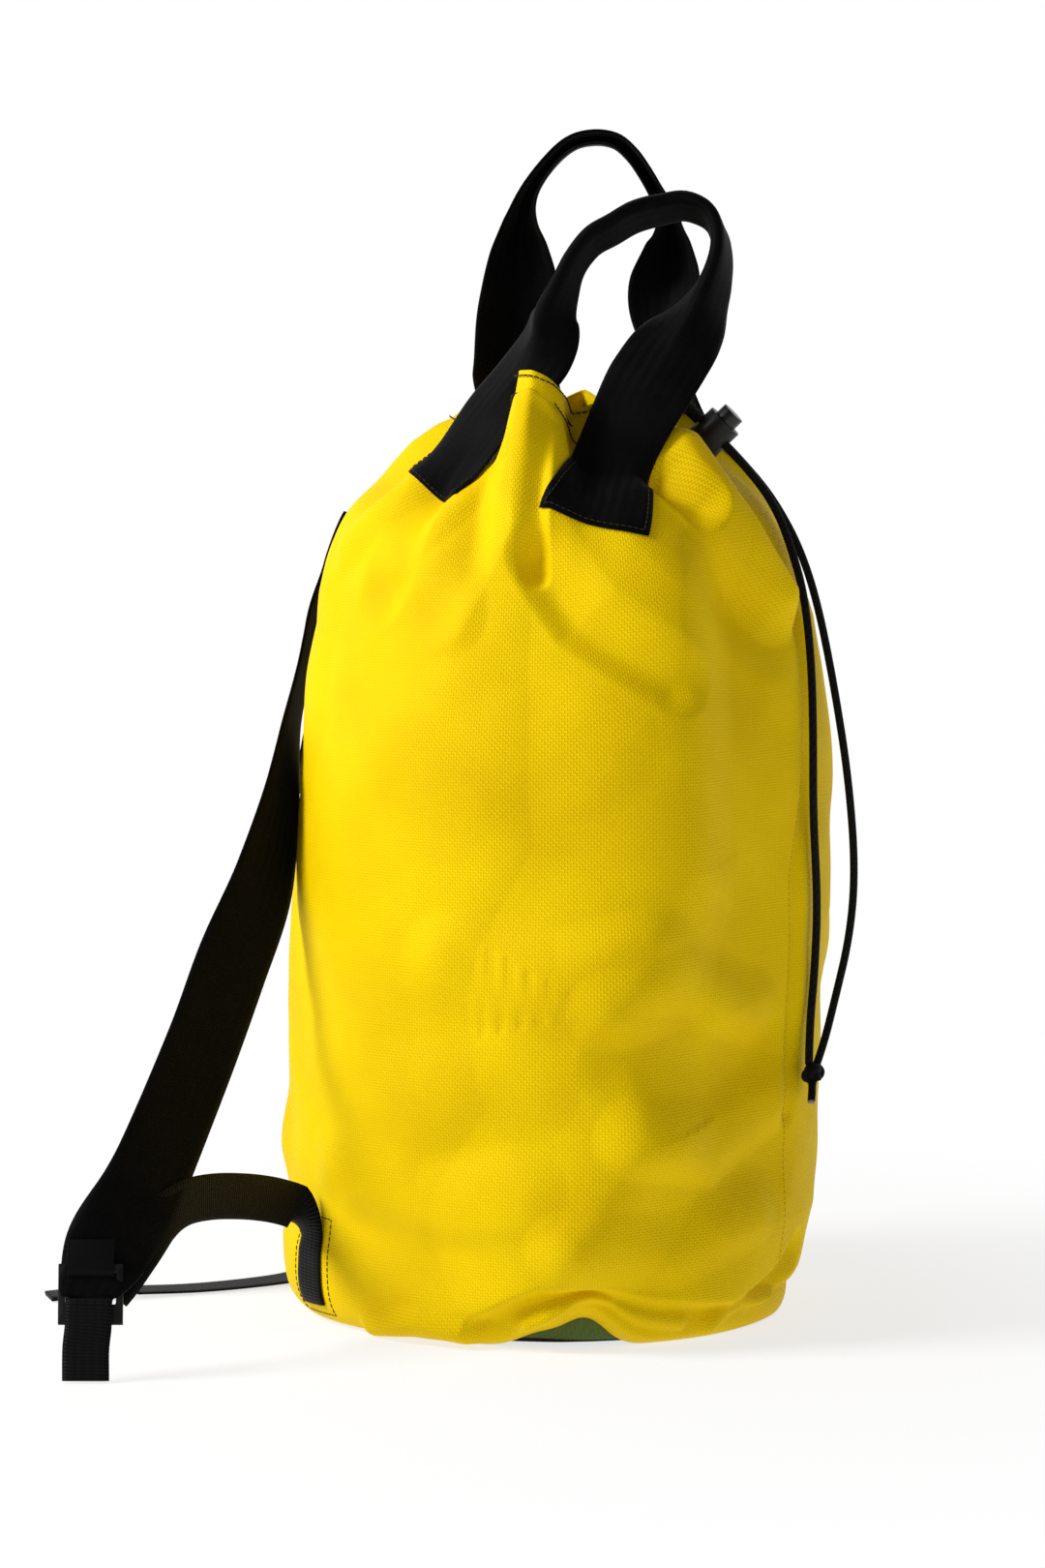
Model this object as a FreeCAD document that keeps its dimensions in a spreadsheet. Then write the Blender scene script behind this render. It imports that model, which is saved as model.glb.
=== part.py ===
"""Rope storage bag for tree-climbing ropes, as a parametric FreeCAD document.

Units are millimetres.  The origin is the centre of the base where it stands on
the ground, +Z is up, and +X points to the side seam, where the drawcord comes
out of its casing.  The shoulder straps are on the -X side, which is the back
against the wearer, so -Y is the wearer's left side and +Y the right.
"""
import FreeCAD, Part
import math
import os

import Sketcher
from FreeCAD import Placement, Rotation, Vector

SIZES = [
    ("body_radius", 149.0, "outer radius of the sewn tube"),
    ("wall", 1.2, "coated cloth with its seam tape"),
    ("base_radius", 127.0, "round base panel, inside the rounded corner"),
    ("base_thickness", 1.6, "base cloth, two plies"),
    ("corner_radius", 22.0, "cloth rolling under at the base"),
    ("side_height", 290.0, "where the straight side ends"),
    ("shoulder_radius", 365.0, "curve of the drawn-in shoulder"),
    ("shoulder_end_radius", 114.0, "where the shoulder turns into the cone"),
    ("shoulder_end_height", 446.0, "where the shoulder turns into the cone"),
    ("throat_radius", 60.0, "outside of the gathered mouth"),
    ("throat_height", 502.0, "underside of the drawcord casing"),
    ("casing_depth", 8.0, "radial depth of the drawcord casing"),
    ("casing_height", 24.0, "height of the drawcord casing"),
    ("casing_wall", 1.0, "cloth of the casing"),
    ("binding_width", 10.0, "bound seam allowance"),
    ("binding_thickness", 2.0, "bound seam allowance"),
    ("cord_diameter", 4.5, "round braided drawcord"),
    ("cord_ring_radius", 55.4, "drawcord inside the casing"),
    ("cord_exit_radius", 62.5, "drawcord leaving its eyelets"),
    ("exit_azimuth", 14.0, "direction of the two cord exits"),
    ("exit_half_angle", 9.0, "each eyelet to one side of that direction"),
    ("eyelet_bore", 5.4, "hole through a drawcord eyelet"),
    ("eyelet_barrel", 7.6, "outside of the eyelet's barrel"),
    ("eyelet_flange", 12.0, "outside of the eyelet's flange"),
    ("eyelet_flange_thickness", 1.1, "rolled metal flange"),
    ("handle_width", 48.0, "handle and shoulder webbing, 50 nominal"),
    ("webbing_thickness", 2.5, "sewn-down wide webbing"),
    ("narrow_width", 25.0, "lower strap webbing"),
    ("narrow_thickness", 1.6, "lower strap webbing"),
    ("foot_height", 40.0, "sewn length of each handle end"),
    ("anchor_low", 13.0, "lower end of the sewn-on lower webbing"),
    ("anchor_high", 56.0, "upper end of the sewn-on lower webbing"),
    ("anchor_patch_width", 44.0, "reinforcement behind the lower webbing"),
    ("lock_barrel_radius", 10.5, "cord lock barrel"),
    ("lock_barrel_height", 19.5, "cord lock barrel"),
    ("lock_floor", 1.6, "closed end of the barrel"),
    ("lock_bore_radius", 7.1, "bore of the barrel"),
    ("button_radius", 6.8, "cord lock button"),
    ("button_height", 19.8, "cord lock button, to its top"),
    ("button_travel", 3.0, "how far the button is pressed"),
    ("cord_spacing", 5.2, "between the two cords in the lock"),
    ("cord_slot_width", 10.3, "hole for both cords, across"),
    ("cord_slot_height", 5.3, "hole for both cords, along the button"),
    ("buckle_width", 34.0, "ladder lock across the webbing"),
    ("buckle_length", 32.0, "ladder lock along the webbing"),
    ("buckle_thickness", 3.6, "ladder lock plate"),
    ("buckle_slot_width", 26.6, "slots of the ladder lock"),
    ("buckle_bar", 5.0, "bars of the ladder lock"),
    ("buckle_slot", 5.6, "slots of the ladder lock, along the webbing"),
    ("keeper_radius", 3.4, "inside of the keeper loop round the top bar"),
    ("keeper_thickness", 1.4, "webbing of the keeper loop"),
    ("keeper_width", 24.6, "webbing of the keeper loop"),
    ("keeper_length", 15.0, "keeper loop from the bar to the strap end"),
]


class Term:
    """A length that knows both its number and its spreadsheet expression."""

    def __init__(self, value, text):
        self.value = value
        self.text = text

    def _join(self, sign, other, value):
        text = other.text if isinstance(other, Term) else repr(float(other))
        return Term(value, "(" + self.text + sign + text + ")")

    def __add__(self, other):
        return self._join(" + ", other, self.value + number(other))

    def __sub__(self, other):
        return self._join(" - ", other, self.value - number(other))

    def __mul__(self, other):
        return self._join(" * ", other, self.value * number(other))

    def __truediv__(self, other):
        return self._join(" / ", other, self.value / number(other))


def number(length):
    """The plain number of a Term or a number."""
    return length.value if isinstance(length, Term) else float(length)


def fixed(value):
    """A length of its own, which no driving dimension changes."""
    return Term(value, repr(value))


doc = FreeCAD.newDocument("RopeBag")
sheet = doc.addObject("Spreadsheet::Sheet", "Sizes")
for row, (alias, value, note) in enumerate(SIZES, start=1):
    sheet.set("A%d" % row, repr(value))
    sheet.setAlias("A%d" % row, alias)
    sheet.set("B%d" % row, note)
doc.recompute()


def size(alias):
    """A driving dimension, read back from the spreadsheet."""
    return Term(float(sheet.get(alias)), "Sizes." + alias)


def bind(item, prop, length):
    """Bind a property of a document object to the spreadsheet."""
    if isinstance(length, Term):
        item.setExpression(prop, length.text)
    else:
        setattr(item, prop, length)


sub_parts = []


def keep(item, label):
    """Give a finished sub-part the label that names its file."""
    item.Label = label
    sub_parts.append(item)
    return item


# --- Sketches ---------------------------------------------------------------

def arc_centre(first, last, radius):
    """Centre of the arc from first to last that lies to the left of the chord."""
    middle = (first + last) * 0.5
    chord = last - first
    rise = math.sqrt(max(radius * radius - chord.Length ** 2 / 4.0, 0.0))
    side = Vector(-chord.y, chord.x, 0).normalize()
    return middle + side * rise


def fix_corner(sketch, edge, end, corner):
    """Fix one end of an edge at a corner; a zero keeps it on that axis."""
    for length, kind, axis in ((corner[0], "DistanceX", -2), (corner[1], "DistanceY", -1)):
        if number(length) == 0.0:
            sketch.addConstraint(Sketcher.Constraint("PointOnObject", edge, end, axis))
            continue
        made = sketch.addConstraint(
            Sketcher.Constraint(kind, -1, 1, edge, end, number(length)))
        sketch.setExpression("Constraints[%d]" % made, length.text)


def outline(sketch, corners):
    """A closed outline.  A corner with a third item is reached by an arc of that
    radius, counter-clockwise, or clockwise where the radius is negative."""
    points = [Vector(number(c[0]), number(c[1]), 0) for c in corners]
    ends = []
    for index, start in enumerate(points):
        following = (index + 1) % len(points)
        finish = points[following]
        radius = corners[following][2] if len(corners[following]) > 2 else None
        if radius is None:
            made = sketch.addGeometry(Part.LineSegment(start, finish), False)
            ends.append((made, 1, 2))
            continue
        forward = number(radius) > 0
        first, last = (start, finish) if forward else (finish, start)
        centre = arc_centre(first, last, abs(number(radius)))
        circle = Part.Circle(centre, Vector(0, 0, 1), abs(number(radius)))
        angles = [math.atan2(p.y - centre.y, p.x - centre.x) for p in (first, last)]
        made = sketch.addGeometry(Part.ArcOfCircle(circle, angles[0], angles[1]), False)
        ends.append((made, 1, 2) if forward else (made, 2, 1))
    for index, (made, _, last) in enumerate(ends):
        following, first, _ = ends[(index + 1) % len(ends)]
        sketch.addConstraint(
            Sketcher.Constraint("Coincident", made, last, following, first))
    for index, corner in enumerate(corners):
        fix_corner(sketch, ends[index][0], ends[index][1], corner)
        if len(corner) > 2:
            arc = ends[index - 1][0]
            length = abs(number(corner[2]))
            if (points[index] - points[index - 1]).Length > 1.99 * length:
                continue    # the ends of a half circle already fix its radius
            made = sketch.addConstraint(Sketcher.Constraint("Radius", arc, length))
            text = corner[2].text
            sketch.setExpression("Constraints[%d]" % made,
                                 text if number(corner[2]) > 0 else "-" + text)


def new_body(name):
    """An empty PartDesign body."""
    return doc.addObject("PartDesign::Body", name)


def new_sketch(body, role):
    """A sketch on one of the body's own origin planes."""
    sketch = body.newObject("Sketcher::SketchObject", body.Name + "Sketch")
    plane = [item for item in body.Origin.OriginFeatures if item.Role == role][0]
    sketch.AttachmentSupport = [(plane, "")]
    sketch.MapMode = "FlatFace"
    return sketch


def revolved_body(name, *outlines):
    """Outlines of (radius, height) corners, turned round the Z axis."""
    body = new_body(name)
    sketch = new_sketch(body, "XZ_Plane")
    for corners in outlines:
        outline(sketch, corners)
    turned = body.newObject("PartDesign::Revolution", name + "Revolution")
    turned.Profile = sketch
    turned.ReferenceAxis = (sketch, ["V_Axis"])
    turned.Angle = 360.0
    sketch.Visibility = False
    return body


def padded_body(name, thickness, *outlines):
    """Outlines of (x, y) corners, padded along Z; the later ones are holes."""
    body = new_body(name)
    sketch = new_sketch(body, "XY_Plane")
    for corners in outlines:
        outline(sketch, corners)
    pad = body.newObject("PartDesign::Pad", name + "Pad")
    pad.Profile = sketch
    bind(pad, "Length", thickness)
    sketch.Visibility = False
    return body


def rectangle(left, bottom, right, top):
    """The four corners of a rectangle, counter-clockwise."""
    return [(left, bottom), (right, bottom), (right, top), (left, top)]


# --- The sewn tube and what is sewn flat on it --------------------------------

def tube_outline(inside, outside):
    """The tube's wall between two offsets from its outer face, as an outline."""
    body_radius = size("body_radius")
    base_radius = size("base_radius")
    corner = size("corner_radius")
    side = size("side_height")
    shoulder = size("shoulder_radius")
    neck_radius = size("shoulder_end_radius")
    neck_height = size("shoulder_end_height")
    throat = size("throat_radius")
    top = size("throat_height")
    normal = Vector(neck_radius.value - body_radius.value + shoulder.value,
                    neck_height.value - side.value, 0).normalize()
    slope = Vector(top.value - neck_height.value, neck_radius.value - throat.value,
                   0).normalize()

    def faces(offset):
        neck = (neck_radius + offset * normal.x, neck_height + offset * normal.y)
        return [
            (base_radius, offset * -1.0),
            (body_radius + offset, corner, corner + offset),
            (body_radius + offset, side),
            neck + (shoulder + offset,),
            (throat + offset / slope.x, top),
        ]

    outer = faces(outside)
    inner = faces(inside)
    back = [inner[4], inner[3][:2], (inner[2][0], inner[2][1], inner[3][2] * -1.0),
            inner[1][:2], (inner[0][0], inner[0][1], inner[1][2] * -1.0)]
    return outer + back


nothing = fixed(0.0)
inner_face = nothing - size("wall")
shell = revolved_body("Shell", tube_outline(inner_face, nothing))


def tube_band(name, label, low, high):
    """The part of the tube's wall between two heights."""
    outside = doc.addObject("Part::Cylinder", name + "Height")
    bind(outside, "Radius", size("body_radius") + size("corner_radius"))
    bind(outside, "Height", high - low)
    bind(outside, "Placement.Base.z", low)
    band = doc.addObject("Part::Common", name)
    band.Base, band.Tool = shell, outside
    return keep(band, label)


# the one piece of cloth, as the four zones in which it curves differently
tube_band("ShellFoot", "body_foot", nothing, size("corner_radius"))
tube_band("ShellWall", "body_shell", size("corner_radius"), size("side_height"))
tube_band("ShellShoulder", "body_shoulder", size("side_height"), size("shoulder_end_height"))
tube_band("ShellNeck", "body_neck", size("shoulder_end_height"), size("throat_height"))
wide_layer = revolved_body(
    "WideLayer", tube_outline(nothing, size("webbing_thickness")))
narrow_layer = revolved_body(
    "NarrowLayer", tube_outline(nothing, size("narrow_thickness")))
lining_layer = revolved_body(
    "LiningLayer", tube_outline(inner_face - size("binding_thickness"), inner_face))

base = doc.addObject("Part::Cylinder", "BasePanel")
bind(base, "Radius", size("base_radius"))
bind(base, "Height", size("base_thickness"))
keep(base, "base_panel")


def ring(name, outer_radius, inner_radius, height, bottom):
    """A flat-ended ring round the Z axis."""
    solids = []
    for part_name, radius in (("Outside", outer_radius), ("Inside", inner_radius)):
        cylinder = doc.addObject("Part::Cylinder", name + part_name)
        bind(cylinder, "Radius", radius)
        bind(cylinder, "Height", height)
        bind(cylinder, "Placement.Base.z", bottom)
        solids.append(cylinder)
    cut = doc.addObject("Part::Cut", name)
    cut.Base, cut.Tool = solids
    return cut


binding_outer = size("base_radius") - size("binding_thickness")
keep(ring("BaseBinding", binding_outer, binding_outer - size("binding_thickness"),
          size("binding_width"), size("base_thickness")), "base_seam_binding")


def sewn_patch(name, layer, azimuth, width, low, high):
    """The part of a layer on the tube that lies inside an upright box."""
    reach_from, reach = 40.0, 125.0
    turn = Rotation(Vector(0, 0, 1), azimuth)
    box = doc.addObject("Part::Box", name + "Box")
    box.Length = reach
    bind(box, "Width", width)
    bind(box, "Height", high - low)
    corner = turn.multVec(Vector(reach_from, -number(width) / 2.0, number(low)))
    box.Placement = Placement(corner, turn)
    patch = doc.addObject("Part::Common", name)
    patch.Base, patch.Tool = layer, box
    return patch


keep(sewn_patch("SideBinding", lining_layer, 0.0, size("binding_width"),
                size("corner_radius"), size("throat_height") - size("casing_height")),
     "side_seam_binding")

HANDLE_FEET = [
    ("left_handle_front_foot", -50.0, 437.0),
    ("left_handle_back_foot", -110.0, 440.0),
    ("right_handle_front_foot", 42.0, 442.0),
    ("right_handle_back_foot", 121.0, 442.0),
]
for label, azimuth, low in HANDLE_FEET:
    keep(sewn_patch(label.title().replace("_", ""), wide_layer, azimuth,
                    size("handle_width"), fixed(low), fixed(low) + size("foot_height")), label)

STRAP_TOP_AZIMUTH = 167.5
ANCHOR_AZIMUTH = 131.5
for side, sign in (("left", -1.0), ("right", 1.0)):
    top_low = size("shoulder_end_height") - size("foot_height")
    keep(sewn_patch(side.title() + "StrapTop", wide_layer, sign * STRAP_TOP_AZIMUTH,
                    size("handle_width"), top_low, top_low + size("foot_height")),
         side + "_strap_top_patch")
    keep(sewn_patch(side.title() + "AnchorWebbing", narrow_layer, sign * ANCHOR_AZIMUTH,
                    size("narrow_width"), size("anchor_low"), size("anchor_high")),
         side + "_anchor_webbing")
    keep(sewn_patch(side.title() + "AnchorPatch", lining_layer, sign * ANCHOR_AZIMUTH,
                    size("anchor_patch_width"), size("anchor_low"),
                    size("anchor_high") + size("anchor_low") / 2.0),
         side + "_anchor_patch")

# --- Drawcord casing and eyelets ------------------------------------------------

casing_out = size("throat_radius")
casing_in = casing_out - size("casing_depth")
casing_low = size("throat_height")
casing_high = casing_low + size("casing_height")
skin = size("casing_wall")
casing_ring = revolved_body(
    "CasingRing",
    rectangle(casing_in, casing_low, casing_out, casing_high),
    rectangle(casing_in + skin, casing_low + skin, casing_out - skin, casing_high - skin))

cord_height = casing_low.value + size("casing_height").value / 2.0
EYELETS = [("front", -1.0), ("back", 1.0)]


def exit_placement(sign, radius):
    """A frame whose Z points out of the casing through an eyelet."""
    azimuth = size("exit_azimuth").value + sign * size("exit_half_angle").value
    turn = Rotation(Vector(0, 0, 1), azimuth)
    outward = turn.multVec(Vector(1, 0, 0))
    base_point = outward * radius + Vector(0, 0, cord_height)
    return Placement(base_point, turn.multiply(Rotation(Vector(0, 1, 0), 90)))


punches = []
for name, sign in EYELETS:
    punch = doc.addObject("Part::Cylinder", "EyeletHole" + name.title())
    bind(punch, "Radius", size("eyelet_barrel") / 2.0)
    bind(punch, "Height", size("casing_depth"))
    punch.Placement = exit_placement(sign, casing_out.value - skin.value - 0.5)
    punches.append(punch)
holes = doc.addObject("Part::MultiFuse", "EyeletHoles")
holes.Shapes = punches
casing = doc.addObject("Part::Cut", "Casing")
casing.Base, casing.Tool = casing_ring, holes
keep(casing, "drawcord_casing")

for name, sign in EYELETS:
    bore = size("eyelet_bore") / 2.0
    barrel = size("eyelet_barrel") / 2.0
    flange = size("eyelet_flange") / 2.0
    lip = size("casing_wall") + 0.5
    edge = lip + size("eyelet_flange_thickness")
    eyelet = revolved_body("Eyelet" + name.title(), [
        (bore, nothing), (barrel, nothing), (barrel, lip), (flange, lip),
        (flange, edge), (bore, edge)])
    eyelet.Placement = exit_placement(sign, casing_out.value - skin.value)
    keep(eyelet, "drawcord_eyelet_" + name)

# --- Cords ------------------------------------------------------------------------

ARC_SHARE = 0.45    # of the shorter run, given to each side of a bend


def cord_wire(route):
    """Straight runs joined by tangent arcs, and the radius of each arc."""
    edges, radii = [], []
    start = route[0]
    for before, here, after in zip(route, route[1:], route[2:]):
        arrive = (here - before).normalize()
        leave = (after - here).normalize()
        half_turn = arrive.getAngle(leave) / 2.0
        shorter = min((here - before).Length, (after - here).Length)
        tangent = ARC_SHARE * shorter
        radii.append(tangent / math.tan(half_turn))
        enter, depart = here - arrive * tangent, here + leave * tangent
        inward = (leave - arrive).normalize()
        to_centre = radii[-1] / math.cos(half_turn)
        middle = here + inward * (to_centre - radii[-1])
        edges.append(Part.LineSegment(start, enter).toShape())
        edges.append(Part.Arc(enter, middle, depart).toShape())
        start = depart
    edges.append(Part.LineSegment(start, route[-1]).toShape())
    return Part.Wire(edges), radii


def cord_tube(wire, label):
    """A round tube along a wire, with its volume compared with section x length."""
    radius = size("cord_diameter").value / 2.0
    start = wire.OrderedEdges[0]
    heading = start.tangentAt(start.FirstParameter)
    section = Part.Wire(Part.Circle(start.valueAt(start.FirstParameter), heading,
                                    radius).toShape())
    tube = wire.makePipeShell([section], True, True)
    expected = math.pi * radius * radius * wire.Length
    print("%s: length %.1f, volume %.1f of %.1f" % (
        label, wire.Length, tube.Volume, expected))
    return tube


def add_shape(shape, label, placement=None):
    """A sub-part whose shape is set directly."""
    item = doc.addObject("Part::Feature", label.title().replace("_", ""))
    item.Shape = shape
    if placement is not None:
        item.Placement = placement
    return keep(item, label)


def polar(radius, azimuth, height):
    """A point from its radius, its direction in degrees and its height."""
    turn = math.radians(azimuth)
    return Vector(radius * math.cos(turn), radius * math.sin(turn), height)


def drawcord_ring():
    """The drawcord inside the casing: the long way round, then out at each eyelet."""
    ring_radius = size("cord_ring_radius").value
    bend = size("cord_diameter").value
    outer = size("cord_exit_radius").value
    lean = math.degrees(math.asin(bend / (ring_radius + bend)))
    straight_from = math.sqrt((ring_radius + bend) ** 2 - bend ** 2)
    sides = []
    for sign in (-1.0, 1.0):
        azimuth = size("exit_azimuth").value + sign * size("exit_half_angle").value
        centre = polar(ring_radius + bend, azimuth + sign * lean, cord_height)
        on_ring = polar(ring_radius, azimuth + sign * lean, cord_height)
        on_line = polar(straight_from, azimuth, cord_height)
        toward = ((on_ring - centre) + (on_line - centre)).normalize()
        sides.append((polar(outer, azimuth, cord_height), on_line,
                      centre + toward * bend, on_ring))
    first, last = sides
    opposite = polar(ring_radius, size("exit_azimuth").value + 180.0, cord_height)
    return Part.Wire([
        Part.LineSegment(first[0], first[1]).toShape(),
        Part.Arc(first[1], first[2], first[3]).toShape(),
        Part.Arc(first[3], opposite, last[3]).toShape(),
        Part.Arc(last[3], last[2], last[1]).toShape(),
        Part.LineSegment(last[1], last[0]).toShape(),
    ])


# Each leg leaves its eyelet, runs straight through the cord lock and hangs down
# the side seam to the knot: the left one lies on the cloth, the right one bows out.
KNOT_CENTRE = Vector(157.0, -12.0, 140.0)
LEFT_LEG = [
    (62.26, 5.45, 514.0), (69.2, 6.05, 514.0), (76.6, 16.4, 501.1), (106.9, 24.0, 468.7),
    (119.5, 28.0, 450.0), (129.5, 26.0, 428.0), (139.5, 20.0, 402.0),
    (147.0, 10.5, 367.0), (152.0, 0.0, 331.0), (153.0, -2.5, 283.0),
    (153.0, 6.0, 234.5), (152.8, 2.5, 197.0), (152.9, -6.0, 167.0), (155.0, -13.0, 146.0),
]
RIGHT_LEG = [
    (57.53, 24.42, 514.0), (63.9, 27.1, 514.0), (75.3, 21.5, 501.1), (105.6, 29.0, 468.7),
    (118.5, 33.0, 451.0), (131.0, 36.5, 427.0), (141.5, 36.5, 397.0),
    (152.0, 34.5, 352.0), (161.8, 32.0, 300.0), (166.9, 29.5, 250.0),
    (165.8, 24.0, 213.0), (160.5, 13.0, 177.0), (158.6, 1.0, 155.0), (157.5, -7.0, 145.5),
]

add_shape(cord_tube(drawcord_ring(), "drawcord_ring"), "drawcord_ring")
for label, route in (("drawcord_left_leg", LEFT_LEG), ("drawcord_right_leg", RIGHT_LEG)):
    wire, bends = cord_wire([Vector(*point) for point in route])
    add_shape(cord_tube(wire, label), label)
    print("%s: bend radii %s" % (label, ", ".join("%.0f" % bend for bend in bends)))

knot = Part.makeSphere(1.0)
stretch = FreeCAD.Matrix()
stretch.scale(7.5, 8.5, 8.0)
knot = knot.transformGeometry(stretch)
knot.translate(KNOT_CENTRE)
for lean in (Vector(0.12, -0.45, -1.0), Vector(-0.1, 0.2, -1.0)):
    knot = knot.fuse(Part.makeCylinder(size("cord_diameter").value / 2.0, 15.0,
                                       KNOT_CENTRE, lean))
add_shape(knot, "drawcord_knot")

# --- Cord lock ----------------------------------------------------------------------

LOCK_CENTRE = polar(88.0, size("exit_azimuth").value, 491.0)
fall = Vector(size("shoulder_end_radius").value - size("throat_radius").value, 0,
              size("shoulder_end_height").value - size("throat_height").value)
cord_heading = Rotation(Vector(0, 0, 1), size("exit_azimuth").value).multVec(
    fall.normalize())
cord_side = Vector(0, 0, 1).cross(cord_heading).normalize()
press_axis = cord_heading.cross(cord_side)
BARREL_BELOW_CORDS = 10.5


def lock_placement(height):
    """The lock's frame: X along the cords, Z out along the button."""
    turn = Rotation(cord_heading, cord_side, press_axis, "ZXY")
    return Placement(LOCK_CENTRE + press_axis * height, turn)


def cut_slot(body, low, height):
    """The hole for both cords, across a turned body."""
    slot = body.newObject("PartDesign::SubtractiveBox", body.Name + "Slot")
    slot.Length = 30.0
    bind(slot, "Width", size("cord_slot_width"))
    bind(slot, "Height", height)
    slot.Placement = Placement(
        Vector(-15.0, -size("cord_slot_width").value / 2.0, number(low)), Rotation())


barrel = revolved_body("LockBarrel", [
    (nothing, nothing), (size("lock_barrel_radius"), nothing),
    (size("lock_barrel_radius"), size("lock_barrel_height")),
    (size("lock_bore_radius"), size("lock_barrel_height")),
    (size("lock_bore_radius"), size("lock_floor")), (nothing, size("lock_floor"))])
cut_slot(barrel, BARREL_BELOW_CORDS - size("cord_slot_height").value / 2.0,
         size("cord_slot_height"))
barrel.Placement = lock_placement(-BARREL_BELOW_CORDS)
keep(barrel, "cord_lock_barrel")

BUTTON_BELOW_CORDS = 4.2
button = revolved_body("LockButton", [
    (nothing, nothing), (size("button_radius"), nothing),
    (size("button_radius"), size("button_height")), (nothing, size("button_height"))])
cut_slot(button, BUTTON_BELOW_CORDS - size("cord_slot_height").value / 2.0,
         size("cord_slot_height") + size("button_travel"))
button.Placement = lock_placement(-BUTTON_BELOW_CORDS)
keep(button, "cord_lock_button")


def lock_spring():
    """A coil spring between the barrel's floor and the button."""
    wire_radius, coil_radius, gap = 0.35, 4.5, 0.05
    room = BARREL_BELOW_CORDS - size("lock_floor").value - BUTTON_BELOW_CORDS
    height = room - 2.0 * (wire_radius + gap)
    coil = Part.makeHelix(height / 3.0, height, coil_radius)
    section = Part.Wire(Part.Circle(Vector(coil_radius, 0, 0), Vector(0, 1, 0),
                                    wire_radius).toShape())
    return Part.Wire(coil.Edges).makePipeShell([section], True, True)


SPRING_SEAT = BARREL_BELOW_CORDS - size("lock_floor").value
add_shape(lock_spring(), "cord_lock_spring", lock_placement(-SPRING_SEAT + 0.4))

# --- Webbing that hangs in the air ----------------------------------------------------


def ribbon(stations):
    """A flat band through stations of (centre, direction across, width, thickness).

    The ends lie as given; the sections between them are square to the band.
    """
    centres = [Vector(*station[0]) for station in stations]
    sections = []
    for index, (_, across, width, thickness) in enumerate(stations):
        ahead = centres[min(index + 1, len(centres) - 1)]
        behind = centres[max(index - 1, 0)]
        along = (ahead - behind).normalize()
        across = Vector(*across)
        if 0 < index < len(stations) - 1:
            across = across - along * across.dot(along)
        across = across.normalize() * (width / 2.0)
        up = along.cross(across).normalize() * (thickness / 2.0)
        centre = centres[index]
        corners = [centre + across + up, centre - across + up,
                   centre - across - up, centre + across - up]
        sections.append(corners + corners[:1])
    faces = [Part.Face(Part.makePolygon(sections[0])), Part.Face(Part.makePolygon(sections[-1]))]
    for before, after in zip(sections, sections[1:]):
        for corner in range(4):
            faces.append(Part.makeRuledSurface(
                Part.makeLine(before[corner], before[corner + 1]),
                Part.makeLine(after[corner], after[corner + 1])))
    skin_faces = Part.makeCompound(faces)
    skin_faces.sewShape()
    band = Part.makeSolid(skin_faces.Shells[0])
    if band.Volume < 0.0:
        band.reverse()
    return band


def handle(first, last, plane_normal, stations):
    """A carrying handle: flat at both ends, turned edge-on and folded at the grip."""
    hinge = (Vector(*last) - Vector(*first)).normalize()
    normal = Vector(*plane_normal)
    made = []
    for centre, turn, width in stations:
        angle = math.radians(turn)
        across = hinge * math.cos(angle) + normal * math.sin(angle)
        made.append((centre, tuple(across), width, 3.0))
    return ribbon(made)


LEFT_HINGE = ((-24.0, -84.0, 490.5), (63.0, -68.0, 488.5))
RIGHT_HINGE = ((-44.0, 69.0, 493.0), (68.0, 49.0, 495.0))
add_shape(handle(LEFT_HINGE[0], LEFT_HINGE[1], (0.17, -0.86, 0.48), [
    (LEFT_HINGE[0], 0, 30), ((-15, -78, 503), 8, 42), ((8, -67, 532), 35, 44),
    ((27, -48, 567), 70, 34), ((46, -26, 598), 88, 26), ((71, 5, 613), 90, 25),
    ((90, 10, 597), 94, 26), ((95, 1, 565), 122, 34), ((85, -20, 533), 155, 44),
    ((71, -49, 503), 172, 44), (LEFT_HINGE[1], 180, 30)]), "left_handle_loop")
add_shape(handle(RIGHT_HINGE[0], RIGHT_HINGE[1], (-0.18, -0.96, -0.20), [
    (RIGHT_HINGE[0], 0, 30), ((-43, 66, 512), 6, 42), ((-43, 64, 541), 12, 43),
    ((-40, 50, 573), 58, 34), ((-32, 38, 608), 86, 26), ((-6, 27, 645), 90, 25),
    ((14, 26, 653.5), 90, 25), ((36, 35, 634), 93, 26), ((50, 46, 604), 106, 28),
    ((50, 50, 572), 140, 37), ((56, 51, 541), 165, 43), ((63, 49.5, 514), 176, 42),
    (RIGHT_HINGE[1], 180, 30)]), "right_handle_loop")

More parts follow.
